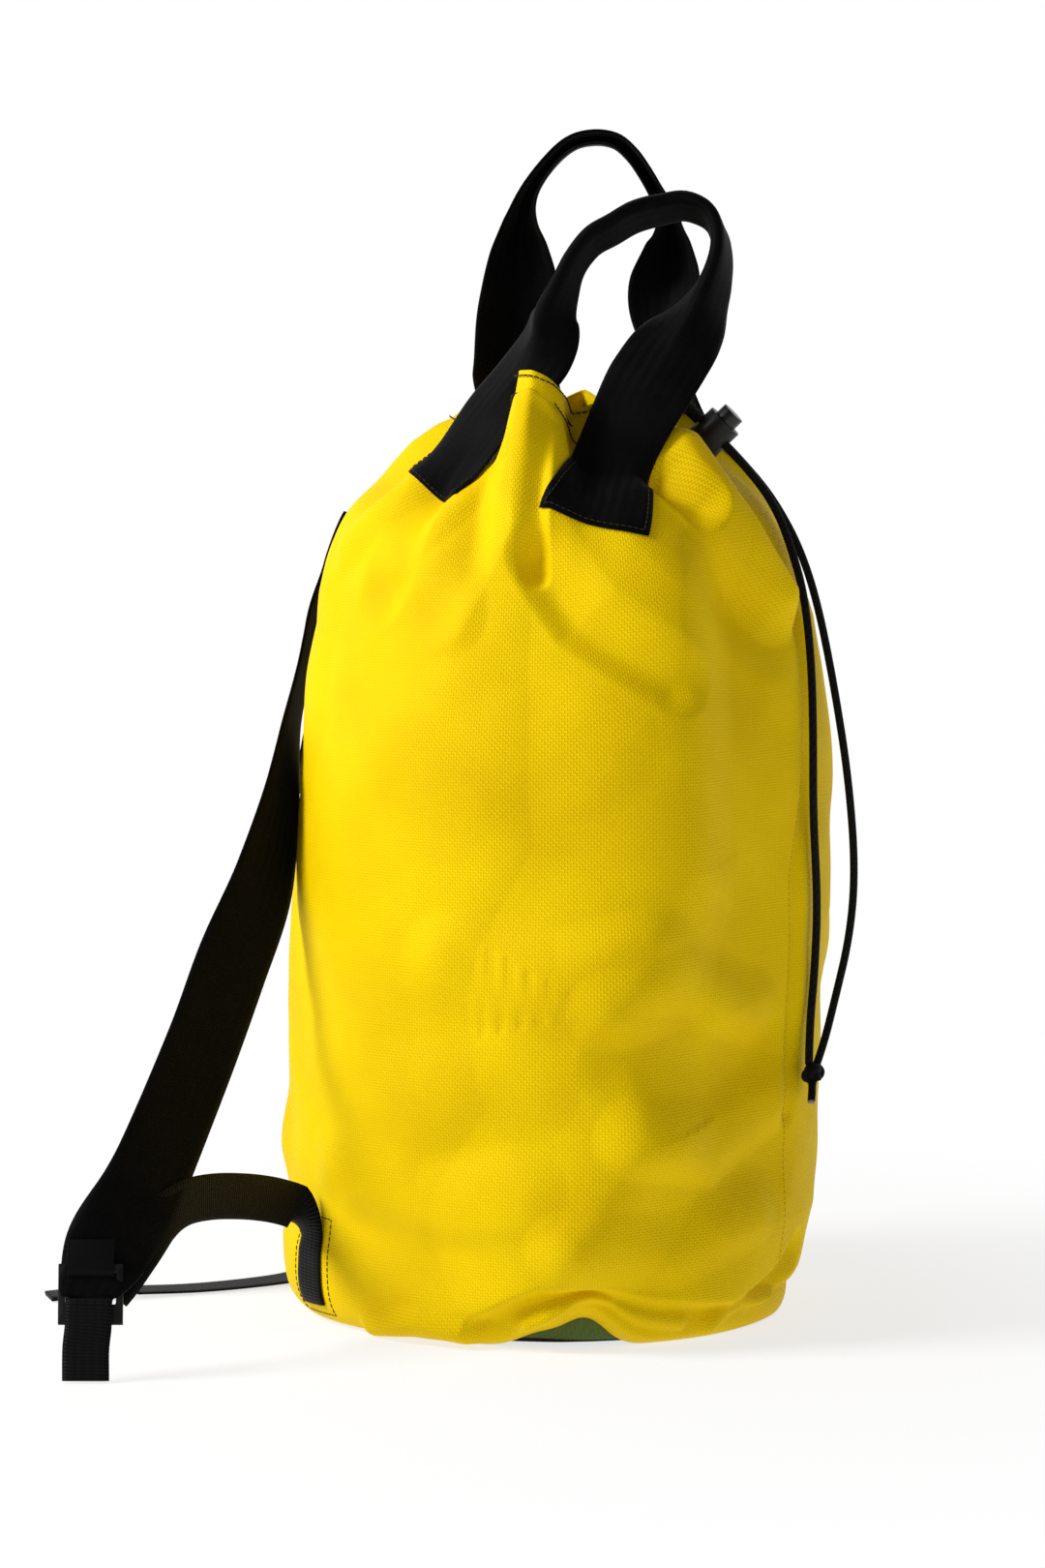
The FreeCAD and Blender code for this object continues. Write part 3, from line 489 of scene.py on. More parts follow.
@dataclass(frozen=True)
class BraidedCord(Finish):
    """Braided polyester cord: small crossing strands, dull black."""

    cord_mm: float = 400.0
    strand_mm: float = 2.4

    def dress(self, tree: bpy.types.NodeTree, shader: bpy.types.Node) -> None:
        """A diamond braid as bump; u runs along the cord and v round it."""
        place = add_node(tree, "ShaderNodeTexCoord").outputs["UV"]
        parts = add_node(tree, "ShaderNodeSeparateXYZ", links={0: place})
        along = self.mathed(tree, "MULTIPLY", parts.outputs[0],
                            2.0 * math.pi * self.cord_mm / (2.0 * self.strand_mm))
        round_it = self.mathed(tree, "MULTIPLY", parts.outputs[1], 2.0 * math.pi * 4.0)
        left = self.mathed(tree, "SINE", self.mathed(tree, "ADD", along, round_it), 0.0)
        right = self.mathed(tree, "SINE", self.mathed(tree, "SUBTRACT", along, round_it), 0.0)
        height = self.spread(tree, self.mathed(tree, "MAXIMUM", left, right), 0.0, 1.0)
        tree.links.new(self.blend(tree, height, self.base, "#0a0a0a"), shader.inputs["Base Color"])
        self.bump(tree, shader, height, 0.35, 0.8)


@dataclass(frozen=True)
class Moulded(Finish):
    """Injection-moulded acetal: an even fine grain with slight flow marks and scuffs."""

    grain_mm: float = 0.8

    def dress(self, tree: bpy.types.NodeTree, shader: bpy.types.Node) -> None:
        """Fine grain as bump and small changes in gloss."""
        gloss = self.spread(tree, self.mottle(tree, 5.0), self.roughness - 0.1, self.roughness + 0.15)
        tree.links.new(gloss, shader.inputs["Roughness"])
        self.bump(tree, shader, self.mottle(tree, self.grain_mm), 0.08, 0.4)


@dataclass(frozen=True)
class Metal(Finish):
    """Rolled or drawn metal with a thin dark or bright skin and fine handling marks."""

    marks: str = "#6f6a62"

    def dress(self, tree: bpy.types.NodeTree, shader: bpy.types.Node) -> None:
        """Mottled metal with small marks."""
        shader.inputs["Metallic"].default_value = 1.0
        patches = self.mottle(tree, 2.0)
        tree.links.new(self.blend(tree, patches, self.base, self.marks), shader.inputs["Base Color"])
        self.bump(tree, shader, patches, 0.05, 0.3)


@dataclass(frozen=True)
class Thread(Finish):
    """Twisted polyester sewing thread: dark, dull, with a fine twist."""

    def dress(self, tree: bpy.types.NodeTree, shader: bpy.types.Node) -> None:
        """A twist as fine bump."""
        self.bump(tree, shader, self.mottle(tree, 0.5), 0.1, 0.5)


@dataclass(frozen=True)
class PaperSweep(Finish):
    """White studio paper that takes a soft shadow and fades into the white behind it."""

    def dress(self, tree: bpy.types.NodeTree, shader: bpy.types.Node) -> None:
        """Matt paper near the object, plain white further off."""
        place = add_node(tree, "ShaderNodeTexCoord").outputs["Object"]
        distance = add_node(tree, "ShaderNodeVectorMath", {"operation": "LENGTH"},
                            {0: place}).outputs["Value"]
        share = add_node(tree, "ShaderNodeMapRange", {1: 0.2, 2: 0.6, 3: 0.72}, {0: distance}).outputs[0]
        white = add_node(tree, "ShaderNodeEmission", {"Strength": 1.0})
        mix = add_node(tree, "ShaderNodeMixShader", {}, {0: share, 1: shader.outputs[0],
                                                        2: white.outputs[0]})
        tree.links.new(mix.outputs[0], tree.nodes["Material Output"].inputs["Surface"])


class Finishes:
    """Every material of the bag."""

    def __init__(self) -> None:
        """Build each finish once."""
        self.yellow = CoatedOxford("pu_coated_polyester_oxford", "#efca00", 0.6, 0.05).build()
        self.green = CoatedOxford("pvc_coated_base_cloth", "#4e6205", 0.55, 0.35, 2.2,
                                  "#56700a", "#39480a").build()
        self.smooth = SmoothWebbing("woven_nylon_webbing", "#010101", 0.6, 0.05).build()
        self.ribbed = RibbedWebbing("ribbed_polypropylene_webbing", "#020202", 0.55, 0.08,
                                    4.5, 1.8, 0.02).build()
        self.tape = SmoothWebbing("folded_binding_tape", "#101010", 0.75, 0.2).build()
        self.cord = BraidedCord("braided_polyester_cord", "#030303", 0.65, 0.15).build()
        self.melted = Moulded("heat_sealed_cord_end", "#8d8578", 0.35, 0.5).build()
        self.acetal = Moulded("moulded_black_acetal", "#030303", 0.4, 0.3).build()
        self.button = Moulded("polished_black_acetal", "#080808", 0.3, 0.4).build()
        self.eyelet = Metal("blackened_rolled_brass", "#2c2926", 0.35).build()
        self.spring = Metal("drawn_spring_steel", "#9a9a9a", 0.25, 0.5, "#c0c0c0").build()
        self.thread = Thread("bonded_polyester_thread", "#2b230e", 0.7, 0.3).build()


def dress_piece(piece: bpy.types.Object, material: bpy.types.Material, slot: Slot,
                body: Optional[str], *nodes: str) -> bpy.types.Object:
    """Give a piece its material, body and the nodes that it stands for.

    Args:
        piece: The finished object.
        material: What it is made of.
        slot: The record's slot; not used.
        body: The body that it rides on, or None where it blends.
        nodes: CAD nodes that it replaces.

    Returns:
        The same object.
    """
    piece.data.materials.clear()
    piece.data.materials.append(material)
    if body is not None:
        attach(piece, body)
    if nodes:
        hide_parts(*nodes)
    log.info("%s: %s", piece.name, material.name)
    return piece


# --- The sewn tube ------------------------------------------------------------------------

@dataclass(frozen=True)
class Fold:
    """A soft crease or ridge in the cloth.

    Attributes:
        path: Azimuth in degrees and height of each point along it.
        rise: How far the cloth stands out, or in where it is negative.
        left: How far the fold reaches to the left of someone who walks along the path.
        right: How far it reaches to their right.
        crest: Roundness of its top.
    """

    path: tuple[tuple[float, float], ...]
    rise: float
    left: float
    right: float
    crest: float = 4.0


@dataclass(frozen=True)
class Gather:
    """Where the drawn mouth lies in one direction.

    Attributes:
        azimuth: The direction in degrees.
        low: The cloth's distance from the axis just below the hem.
        top: Its distance at the hem's top edge.
        drop: How far the hem is pulled down there.
    """

    azimuth: float
    low: float
    top: float
    drop: float = 0.0


@dataclass
class Tube:
    """The yellow tube: a cylinder that is gathered at the mouth and slumps at the base."""

    radius: float = 148.6
    corner: float = 22.0
    base_radius: float = 127.0
    side_height: float = 290.0
    shoulder_radius: float = 365.0
    neck_height: float = 446.0
    throat_radius: float = 60.0
    throat_height: float = 502.0
    hem_height: float = 24.0
    hem_thickness: float = 2.4
    columns: int = 800
    row_step: float = 1.7

    folds: tuple[Fold, ...] = tuple(Fold(*row) for row in (
        # the long soft edge down the front
        (((-38, 430), (-43, 357), (-44, 300), (-42, 259), (-57, 186), (-51, 114), (-66, 58)),
             15.0, 44.0, 74.0, 3.0),
        (((-22, 385), (-20, 250), (-22, 100)), -7.0, 40.0, 38.0, 9.0),
        # from the front pleat's foot down to that edge
        (((-73, 424), (-63, 391), (-44, 357)), -8.0, 24.0, 14.0, 2.0),
        # the fold that ends in a point beside the seam
        (((-20, 474), (-16, 448), (-9, 424), (-3, 403)), 15.0, 14.0, 30.0, 2.0),
        (((-36, 442), (-24, 412), (-8, 386)), -5.0, 12.0, 30.0, 2.0),
        (((-33, 462), (-27, 448)), -11.0, 13.0, 13.0, 2.0),
        # the creases that run down from the left of the front pleat
        (((-72, 488), (-73, 450), (-72, 419)), -5.0, 5.0, 12.0, 1.2),
        (((-92, 470), (-101, 447), (-112, 425)), 4.5, 12.0, 20.0, 3.0),
        (((-108, 459), (-111, 435), (-114, 405)), -6.5, 14.0, 20.0, 4.0),
        (((-117, 480), (-127, 455), (-136, 430)), 7.0, 16.0, 18.0, 2.5),
        (((-88, 440), (-92, 420), (-96, 396)), -4.0, 14.0, 18.0, 4.0),
        (((-97, 450), (-96, 425), (-93, 396)), 4.5, 16.0, 22.0, 6.0),
        (((-150, 440), (-146, 400), (-141, 340)), 4.5, 24.0, 30.0, 8.0),
        # beside the seam and across the belly
        (((6, 452), (7, 400), (4, 340), (-3, 260), (-8, 120)), -3.0, 8.0, 8.0, 1.2),
        (((-104, 330), (-84, 318), (-64, 330)), 3.0, 30.0, 34.0, 10.0),
        (((-90, 214), (-68, 204), (-50, 216)), 4.5, 20.0, 28.0, 8.0),
        (((-57, 184), (-40, 196), (-20, 178)), 5.5, 22.0, 16.0, 5.0),
        (((-54, 158), (-36, 146), (-18, 160)), -3.5, 20.0, 20.0, 8.0),
        (((-52, 112), (-34, 104), (-14, 124)), 5.0, 26.0, 14.0, 5.0),
        (((-66, 57), (-44, 52), (-20, 70)), 4.2, 20.0, 16.0, 5.0),
        (((-124, 150), (-100, 132), (-76, 146)), 3.2, 26.0, 26.0, 9.0),
        (((-120, 96), (-98, 78), (-76, 90)), 3.4, 20.0, 22.0, 7.0),
        (((-112, 60), (-90, 44), (-72, 52)), -3.4, 16.0, 18.0, 6.0),
        # the slumped bottom
        (((-84, 12), (-71, 27), (-60, 25), (-47, 19), (-25, 12), (-9, 26), (1, 42)),
             -7.5, 8.0, 16.0, 1.4),
        (((-74, 10), (-64, 18), (-56, 21), (-40, 13)), 5.5, 8.0, 8.0, 1.4),
        (((-112, 8), (-98, 14), (-86, 8)), 5.0, 8.0, 12.0, 2.0),
        (((-30, 6), (-20, 14), (-8, 10)), 5.0, 8.0, 10.0, 2.0),
        # the side away from the drawcord and the back
        (((60, 430), (66, 360), (58, 250), (64, 120)), 7.5, 60.0, 50.0, 7.0),
        (((96, 440), (92, 380), (104, 300)), -6.0, 30.0, 36.0, 5.0),
        (((130, 430), (136, 330), (128, 200), (134, 90)), 6.5, 55.0, 60.0, 8.0),
        (((30, 200), (56, 186), (80, 204)), 4.4, 24.0, 22.0, 7.0),
        (((100, 130), (126, 118), (150, 136)), 4.4, 24.0, 22.0, 7.0),
        (((40, 300), (60, 316), (84, 300)), 3.6, 26.0, 26.0, 8.0),
        (((178, 400), (184, 330), (176, 240)), -5.0, 44.0, 44.0, 9.0),
        (((164, 100), (184, 84), (204, 96)), 3.6, 24.0, 24.0, 8.0),
        (((40, 20), (66, 28), (92, 16)), -6.0, 10.0, 16.0, 2.0),
        (((120, 12), (150, 26), (176, 14)), -6.0, 10.0, 16.0, 2.0),
    ))
    gathers: tuple[Gather, ...] = tuple(Gather(*row) for row in (
        (-158, 60, 40, 4), (-141, 50, 37, 6), (-128, 52, 40, 4),
        (-114, 52, 40, 2), (-99, 51, 41, 1), (-90, 58, 50, 1),
        (-84, 85, 78, 0), (-77, 93, 88, 0), (-71, 85, 86, 4),
        (-65, 69, 72, 12), (-61, 55, 48, 19), (-56, 50, 38, 20),
        (-46, 54, 42, 19), (-35, 60, 46, 16), (-25, 74, 58, 10),
        (-12, 70, 62, 5), (3, 62, 60, 2), (14, 62, 60, 0),
        (25, 63, 60, 2), (34, 74, 60, 8), (43, 60, 48, 14),
        (55, 56, 46, 16), (70, 74, 62, 10), (82, 60, 48, 15),
        (96, 74, 60, 11), (108, 58, 46, 16), (121, 55, 44, 16),
        (134, 58, 46, 14), (148, 72, 58, 8), (162, 54, 42, 10),
        (176, 64, 48, 6), (188, 54, 40, 8),
    ))
    # how far the filled bag leans out towards the side seam, and away at the back, by height
    seam_bulge: tuple[tuple[float, float], ...] = (
        (0, -16), (10, -15), (25, -10), (41, -7), (60, -3), (190, 0), (225, 5), (290, 6),
        (350, 7), (386, 9), (420, 7), (452, 3), (483, 0), (505, 0), (530, 0))
    back_bulge: tuple[tuple[float, float], ...] = (
        (0, 5), (41, 4), (60, -1), (90, 2.5), (190, 1.5), (223, 0), (256, -2), (290, -5),
        (354, -6.5), (386, -6.5), (402, -2.5), (419, 0), (451, 3), (483, 5), (505, 0), (530, 0))

    def __post_init__(self) -> None:
        """Work out the profile from its arcs."""
        turn = np.radians(np.linspace(0.0, 90.0, 12))
        corner_r = self.base_radius + self.corner * np.sin(turn)
        corner_z = self.corner * (1.0 - np.cos(turn))
        sweep = np.arcsin((self.neck_height - self.side_height) / self.shoulder_radius)
        bend = np.linspace(0.0, sweep, 24)[1:]
        centre = self.radius - self.shoulder_radius
        shoulder_r = centre + self.shoulder_radius * np.cos(bend)
        shoulder_z = self.side_height + self.shoulder_radius * np.sin(bend)
        radii = np.concatenate([corner_r, [self.radius], shoulder_r,
                                [self.throat_radius - 1.0, self.throat_radius - 2.0]])
        heights = np.concatenate([corner_z, [self.side_height], shoulder_z,
                                  [self.throat_height, self.throat_height + self.hem_height]])
        along = np.concatenate([[0.0], np.cumsum(np.hypot(np.diff(radii), np.diff(heights)))])
        even = np.arange(0.0, along[-1], 1.0)
        fine = np.column_stack([np.interp(even, along, radii), np.interp(even, along, heights)])
        for _ in range(80):
            fine[1:-1] += ((fine[:-2] + fine[2:]) / 2.0 - fine[1:-1]) * 0.8
        self.profile_r, self.profile_z = fine[:, 0], fine[:, 1]
        steps = np.hypot(np.diff(self.profile_r), np.diff(self.profile_z))
        self.profile_s = np.concatenate([[0.0], np.cumsum(steps)])
        self.length = float(self.profile_s[-1])
        slope_r = np.gradient(self.profile_r, self.profile_s)
        slope_z = np.gradient(self.profile_z, self.profile_s)
        self.normal_r, self.normal_z = slope_z, -slope_r

    def arc_at(self, height: Any) -> Any:
        """Distance up the cloth from the base seam to a height."""
        return np.interp(height, self.profile_z, self.profile_s)

    def fold_depth(self, azimuth: np.ndarray, arc: np.ndarray, radius: np.ndarray) -> np.ndarray:
        """How far all folds together move the cloth outward."""
        total = np.zeros_like(azimuth)
        for fold in self.folds:
            best = np.full_like(azimuth, 1e6)
            side = np.zeros_like(azimuth)
            points = [(math.radians(a), float(self.arc_at(z))) for a, z in fold.path]
            for (first_a, first_s), (last_a, last_s) in zip(points, points[1:]):
                offset = (azimuth - first_a + math.pi) % (2.0 * math.pi) - math.pi
                here_x, here_y = offset * radius, arc - first_s
                run_x, run_y = (last_a - first_a) * radius, last_s - first_s
                share = np.clip((here_x * run_x + here_y * run_y)
                                / (run_x ** 2 + run_y ** 2 + 1e-6), 0.0, 1.0)
                gap = np.hypot(here_x - run_x * share, here_y - run_y * share)
                turn = (run_x * here_y - run_y * here_x) / math.hypot(run_x.mean(), run_y)
                side = np.where(gap < best, turn / np.maximum(gap, 1e-3), side)
                best = np.minimum(best, gap)
            lean = np.clip(side, -1.0, 1.0)
            reach = (fold.left + fold.right) / 2.0 + (fold.left - fold.right) / 2.0 * lean
            tent = 1.0 - (np.sqrt(best ** 2 + fold.crest ** 2) - fold.crest) / reach
            tent = np.clip(tent, 0.0, 1.0)
            total += fold.rise * (0.5 * tent + 0.5 * tent * tent * (3.0 - 2.0 * tent))
        return total

    def gathered(self, azimuth: np.ndarray, field: str) -> np.ndarray:
        """A gather's value in each direction, smoothly between the stated ones."""
        degrees = (np.degrees(azimuth) + 180.0) % 360.0 - 180.0
        turns = np.array([gather.azimuth for gather in self.gathers])
        values = np.tile([getattr(gather, field) for gather in self.gathers], 3)
        fine = np.arange(-200.0, 200.0, 0.5)
        kernel = np.hanning(13)
        around = np.interp(fine, np.concatenate([turns - 360.0, turns, turns + 360.0]), values)
        around = np.convolve(around, kernel / kernel.sum(), "same")
        return np.interp(degrees, fine, around)

    def gather_depth(self, azimuth: np.ndarray, height: np.ndarray) -> np.ndarray:
        """How far the drawn mouth moves the cloth outward."""
        low = self.gathered(azimuth, "low")
        hem = smoothstep(height, self.throat_height - 8.0, self.throat_height + self.hem_height)
        depth = low + (self.gathered(azimuth, "top") - low) * hem - self.throat_radius
        return depth * smoothstep(height, 392.0, 504.0) ** 1.25

    def lean_depth(self, azimuth: np.ndarray, height: np.ndarray) -> np.ndarray:
        """How far the load pushes the cloth out towards the seam and the back."""
        degrees = (np.degrees(azimuth) + 180.0) % 360.0 - 180.0
        seam = smoothstep(degrees, 2.0, 24.0) * (1.0 - smoothstep(degrees, 52.0, 115.0))
        low_seam = smoothstep(degrees, -40.0, 0.0) * (1.0 - smoothstep(degrees, 52.0, 115.0))
        behind = (degrees + 158.0 + 180.0) % 360.0 - 180.0
        back = np.exp(-(behind / 42.0) ** 2)
        bulge = np.interp(height, *zip(*self.seam_bulge))
        retreat = np.interp(height, *zip(*self.back_bulge))
        return np.where(bulge < 0, low_seam, seam) * bulge + back * retreat

    def waviness(self, azimuth: np.ndarray, arc: np.ndarray) -> np.ndarray:
        """Slight unevenness of soft cloth, the same on every run."""
        total = np.zeros_like(azimuth)
        for turns, tall, phase, size in ((3, 210.0, 0.4, 0.9), (5, 140.0, 2.1, 0.7),
                                         (8, 95.0, 4.0, 0.45), (13, 62.0, 1.2, 0.3),
                                         (21, 40.0, 5.2, 0.16)):
            total += size * np.sin(turns * azimuth + phase + arc / tall) * np.cos(
                2.0 * math.pi * arc / tall + phase * turns)
        return total

    def lifted(self, azimuth: np.ndarray, height: np.ndarray) -> np.ndarray:
        """Where the bottom edge is rucked up off the ground, how far."""
        degrees = np.degrees(azimuth)
        total = np.zeros_like(azimuth)
        for middle, reach, rise in ((-61.0, 7.0, 15.0), (-72.0, 7.0, 7.0), (95.0, 10.0, 8.0),
                                    (160.0, 12.0, 5.0)):
            offset = (degrees - middle + 180.0) % 360.0 - 180.0
            total += rise * np.exp(-(offset / reach) ** 2)
        return total * (1.0 - smoothstep(height, 8.0, 44.0))

    def surface(self, azimuth: Any, arc: Any, outward: float = 0.0) -> np.ndarray:
        """Points of the cloth's outer face.

        Args:
            azimuth: Directions in radians.
            arc: Distances up the cloth from the base seam.
            outward: Extra offset along the plain profile's normal.

        Returns:
            Points, with one more axis than the arguments.
        """
        azimuth, arc = np.broadcast_arrays(np.asarray(azimuth, float), np.asarray(arc, float))
        radius = np.interp(arc, self.profile_s, self.profile_r)
        height = np.interp(arc, self.profile_s, self.profile_z)
        out_r = np.interp(arc, self.profile_s, self.normal_r)
        out_z = np.interp(arc, self.profile_s, self.normal_z)
        hold = smoothstep(arc, 4.0, 30.0)
        depth = (self.fold_depth(azimuth, arc, radius) + self.waviness(azimuth, arc) * hold
                 + self.gather_depth(azimuth, height)
                 + self.lean_depth(azimuth, height) + outward)
        depth = depth * smoothstep(arc, -2.0, 14.0)
        r = radius + out_r * depth
        z = height + out_z * depth + self.lifted(azimuth, height)
        z = z - self.gathered(azimuth, "drop") * smoothstep(height, 470.0, 524.0)
        return np.stack([r * np.cos(azimuth), r * np.sin(azimuth), np.maximum(z, 0.15)], axis=-1)

    def normal(self, azimuth: Any, arc: Any) -> np.ndarray:
        """Outward normals of the cloth."""
        azimuth, arc = np.broadcast_arrays(np.asarray(azimuth, float), np.asarray(arc, float))
        around = self.surface(azimuth + 0.004, arc) - self.surface(azimuth - 0.004, arc)
        upward = self.surface(azimuth, arc + 0.6) - self.surface(azimuth, arc - 0.6)
        return unit(np.cross(around, upward))

    def sheet_grid(self, arcs: np.ndarray) -> tuple[np.ndarray, np.ndarray]:
        """Points and cloth places for rings at the given distances up the cloth."""
        around = np.linspace(0.0, 2.0 * math.pi, self.columns + 1)
        azimuth, arc = np.meshgrid(around, arcs)
        points = self.surface(azimuth, arc)
        places = np.stack([azimuth * self.radius, arc], axis=-1)
        return points, places


@dataclass
class Cloth:
    """The pieces cut from cloth: tube, hem and base."""

    tube: Tube
    finishes: Finishes

    def build(self) -> None:
        """Make and dress every cloth piece."""
        body = self.body()
        hem = self.hem()
        base = self.base()
        self.bindings()

    def body(self) -> bpy.types.Object:
        """The tube from the base seam to the hem."""
        top = self.tube.arc_at(self.tube.throat_height)
        arcs = np.linspace(0.0, top, int(top / self.tube.row_step))
        points, places = self.tube.sheet_grid(arcs)
        piece = new_object("sewn_tube", points.reshape(-1, 3),
                           grid_faces(*points.shape[:2], False), places.reshape(-1, 2))
        weld(piece)
        return dress_piece(piece, self.finishes.yellow, Slot.YELLOW_CLOTH, "bag", "body_foot",
                           "body_shell", "body_shoulder", "body_neck")

    def hem(self) -> bpy.types.Object:
        """The folded-over casing that holds the drawcord."""
        tube = self.tube
        low, high = tube.arc_at(tube.throat_height), tube.length
        outer = np.linspace(low, high - 1.5, 14)
        points, places = tube.sheet_grid(outer)
        middle = points.copy()
        middle[..., 2] = 0.0
        inward = -unit(middle)
        share = np.linspace(0.0, 1.0, len(outer))[:, None, None]
        puff = np.sin(np.pi * share) * 1.6
        outside = points - inward * puff
        inside = points + inward * (tube.hem_thickness + puff * 1.5)
        rim = []
        for turn in (30.0, 90.0, 150.0):
            angle = math.radians(turn)
            ring = ((outside[-1] + inside[-1]) / 2.0
                    + (outside[-1] - inside[-1]) / 2.0 * math.cos(angle))
            ring = ring + np.array([0.0, 0.0, 1.5 * math.sin(angle)])
            rim.append(ring[None])
        grid = np.concatenate([outside, *rim, inside[::-1]], axis=0)
        along = np.concatenate([places[:, :, 1], *[places[-1:, :, 1] + k for k in (1, 2, 3)],
                                places[::-1, :, 1] + 28.0], axis=0)
        around = np.broadcast_to(places[0, :, 0], along.shape)
        piece = new_object("drawcord_hem", grid.reshape(-1, 3),
                           grid_faces(*grid.shape[:2], False),
                           np.stack([around, along], axis=-1).reshape(-1, 2))
        weld(piece)
        dress_piece(piece, self.finishes.yellow, Slot.YELLOW_CLOTH, "bag", "drawcord_casing")
        around = np.linspace(0.0, 2.0 * math.pi, 1400)
        for name, arc in (("hem_lower_stitching", low + 1.0), ("hem_upper_stitching", high - 3.0)):
            line = tube.surface(around, np.full_like(around, arc))
            outward = tube.normal(around, np.full_like(around, arc))
            outward[:, 2] *= 0.3
            lift = 0.8 + 1.6 * math.sin(math.pi * (arc - low) / (high - low))
            stitches = stitch_run(name, line + unit(outward) * (lift + 0.25), unit(outward),
                                  3.2, 0.4, 0.5)
            dress_piece(stitches, self.finishes.thread, Slot.YELLOW_CLOTH, "bag")
        return piece

    def base(self) -> bpy.types.Object:
        """The green base, whose edge rolls up a little inside the tube."""
        around = np.linspace(0.0, 2.0 * math.pi, 361)
        profile = ((0.0, 0.6), (60.0, 0.5), (108.0, 0.5), (118.0, 0.8), (124.0, 2.6), (127.0, 7.0),
                   (128.5, 13.0), (128.5, 20.0))
        rows = smooth_line(np.array([(r, z, 0.0) for r, z in profile]), 2.5)
        ripple = 0.8 * np.sin(9 * around) + 0.6 * np.sin(14 * around + 1.0)
        grid = np.stack([np.outer(rows[:, 0], np.cos(around)) + rows[:, :1] / 140.0 * ripple,
                         np.outer(rows[:, 0], np.sin(around)) + rows[:, :1] / 140.0 * ripple,
                         np.repeat(rows[:, 1:2], len(around), axis=1)], axis=-1)
        piece = new_object("green_base", grid.reshape(-1, 3), grid_faces(*grid.shape[:2], False),
                           grid[..., :2].reshape(-1, 2))
        weld(piece)
        solid = piece.modifiers.new("ply", "SOLIDIFY")
        solid.thickness = 1.4 * MM
        solid.offset = -1.0
        apply_modifiers(piece)
        return dress_piece(piece, self.finishes.green, Slot.GREEN_CLOTH, "bag", "base_panel")

    def bindings(self) -> None:
        """The bound seams inside, each a folded tape."""
        tube = self.tube
        turn = np.linspace(0.0, 2.0 * math.pi, 181)
        rows = []
        for height in (2.0, 5.0, 8.0, 11.4):
            wobble = 0.6 * np.sin(11 * turn + height)
            rows.append(np.stack([(124.0 + wobble) * np.cos(turn), (124.0 + wobble) * np.sin(turn),
                                  np.full_like(turn, height)], axis=-1))
        ring = thick_band("base_binding_tape", np.array(rows).transpose(1, 0, 2), 1.6)
        dress_piece(ring, self.finishes.tape, Slot.TAPE, "bag", "base_seam_binding")
        arcs = np.linspace(tube.arc_at(24.0), tube.arc_at(470.0), 160)
        degrees = self.seam_azimuth(arcs)
        grid = []
        for offset in (-5.0, -2.5, 0.0, 2.5, 5.0):
            radius = np.interp(arcs, tube.profile_s, tube.profile_r)
            grid.append(tube.surface(np.radians(degrees) + offset / radius, arcs)
                        - tube.normal(np.radians(degrees), arcs) * 2.0)
        strip = thick_band("seam_binding_tape", np.array(grid).transpose(1, 0, 2), 1.4)
        dress_piece(strip, self.finishes.tape, Slot.TAPE, "bag", "side_seam_binding")
        line = tube.surface(np.radians(degrees), arcs)
        stitches = stitch_run("side_seam_stitching", line + tube.normal(np.radians(degrees), arcs)
                              * 0.1, tube.normal(np.radians(degrees), arcs), 2.4, 0.9, 0.22)
        dress_piece(stitches, self.finishes.yellow, Slot.YELLOW_CLOTH, "bag")

    def seam_azimuth(self, arcs: np.ndarray) -> np.ndarray:
        """Direction of the side seam in degrees, which winds a little up the tube."""
        heights = np.interp(arcs, self.tube.profile_s, self.tube.profile_z)
        return np.interp(heights, [0.0, 250.0, 400.0, 500.0], [-9.0, -7.0, 8.0, 10.0])


def weld(piece: bpy.types.Object) -> None:
    """Join a piece's doubled edge points."""
    mesh = bmesh.new()
    mesh.from_mesh(piece.data)
    bmesh.ops.remove_doubles(mesh, verts=mesh.verts, dist=WELD_DISTANCE)
    mesh.to_mesh(piece.data)
    mesh.free()


def apply_modifiers(piece: bpy.types.Object) -> None:
    """Turn a piece's modifiers into its mesh."""
    ready = piece.evaluated_get(bpy.context.evaluated_depsgraph_get())
    mesh = bpy.data.meshes.new_from_object(ready)
    piece.modifiers.clear()
    piece.data = mesh


# --- Webbing -----------------------------------------------------------------------------

@dataclass(frozen=True)
class Sewn:
    """The end of a webbing that lies on the cloth.

    Attributes:
        low: Azimuth in degrees and height of its lower end.
        high: Azimuth in degrees and height where it leaves the cloth.
    """

    low: tuple[float, float]
    high: tuple[float, float]

    def grid(self, tube: Tube, width: float, columns: int, lift: float) -> np.ndarray:
        """Points of the sewn webbing, on the cloth, from its lower end up."""
        low = np.array([math.radians(self.low[0]), float(tube.arc_at(self.low[1]))])
        high = np.array([math.radians(self.high[0]), float(tube.arc_at(self.high[1]))])
        radius = np.interp((low[1] + high[1]) / 2.0, tube.profile_s, tube.profile_r)
        flat = np.array([(high[0] - low[0]) * radius, high[1] - low[1]])
        length = np.linalg.norm(flat)
        along = flat / length
        across = np.array([along[1], -along[0]])
        down, side = np.meshgrid(np.arange(0.0, length + 1e-6, 2.0),
                                 np.linspace(-width / 2.0, width / 2.0, columns), indexing="ij")
        x = down * along[0] + side * across[0]
        y = low[1] + down * along[1] + side * across[1]
        azimuth = low[0] + x / radius
        return tube.surface(azimuth, y) + tube.normal(azimuth, y) * lift


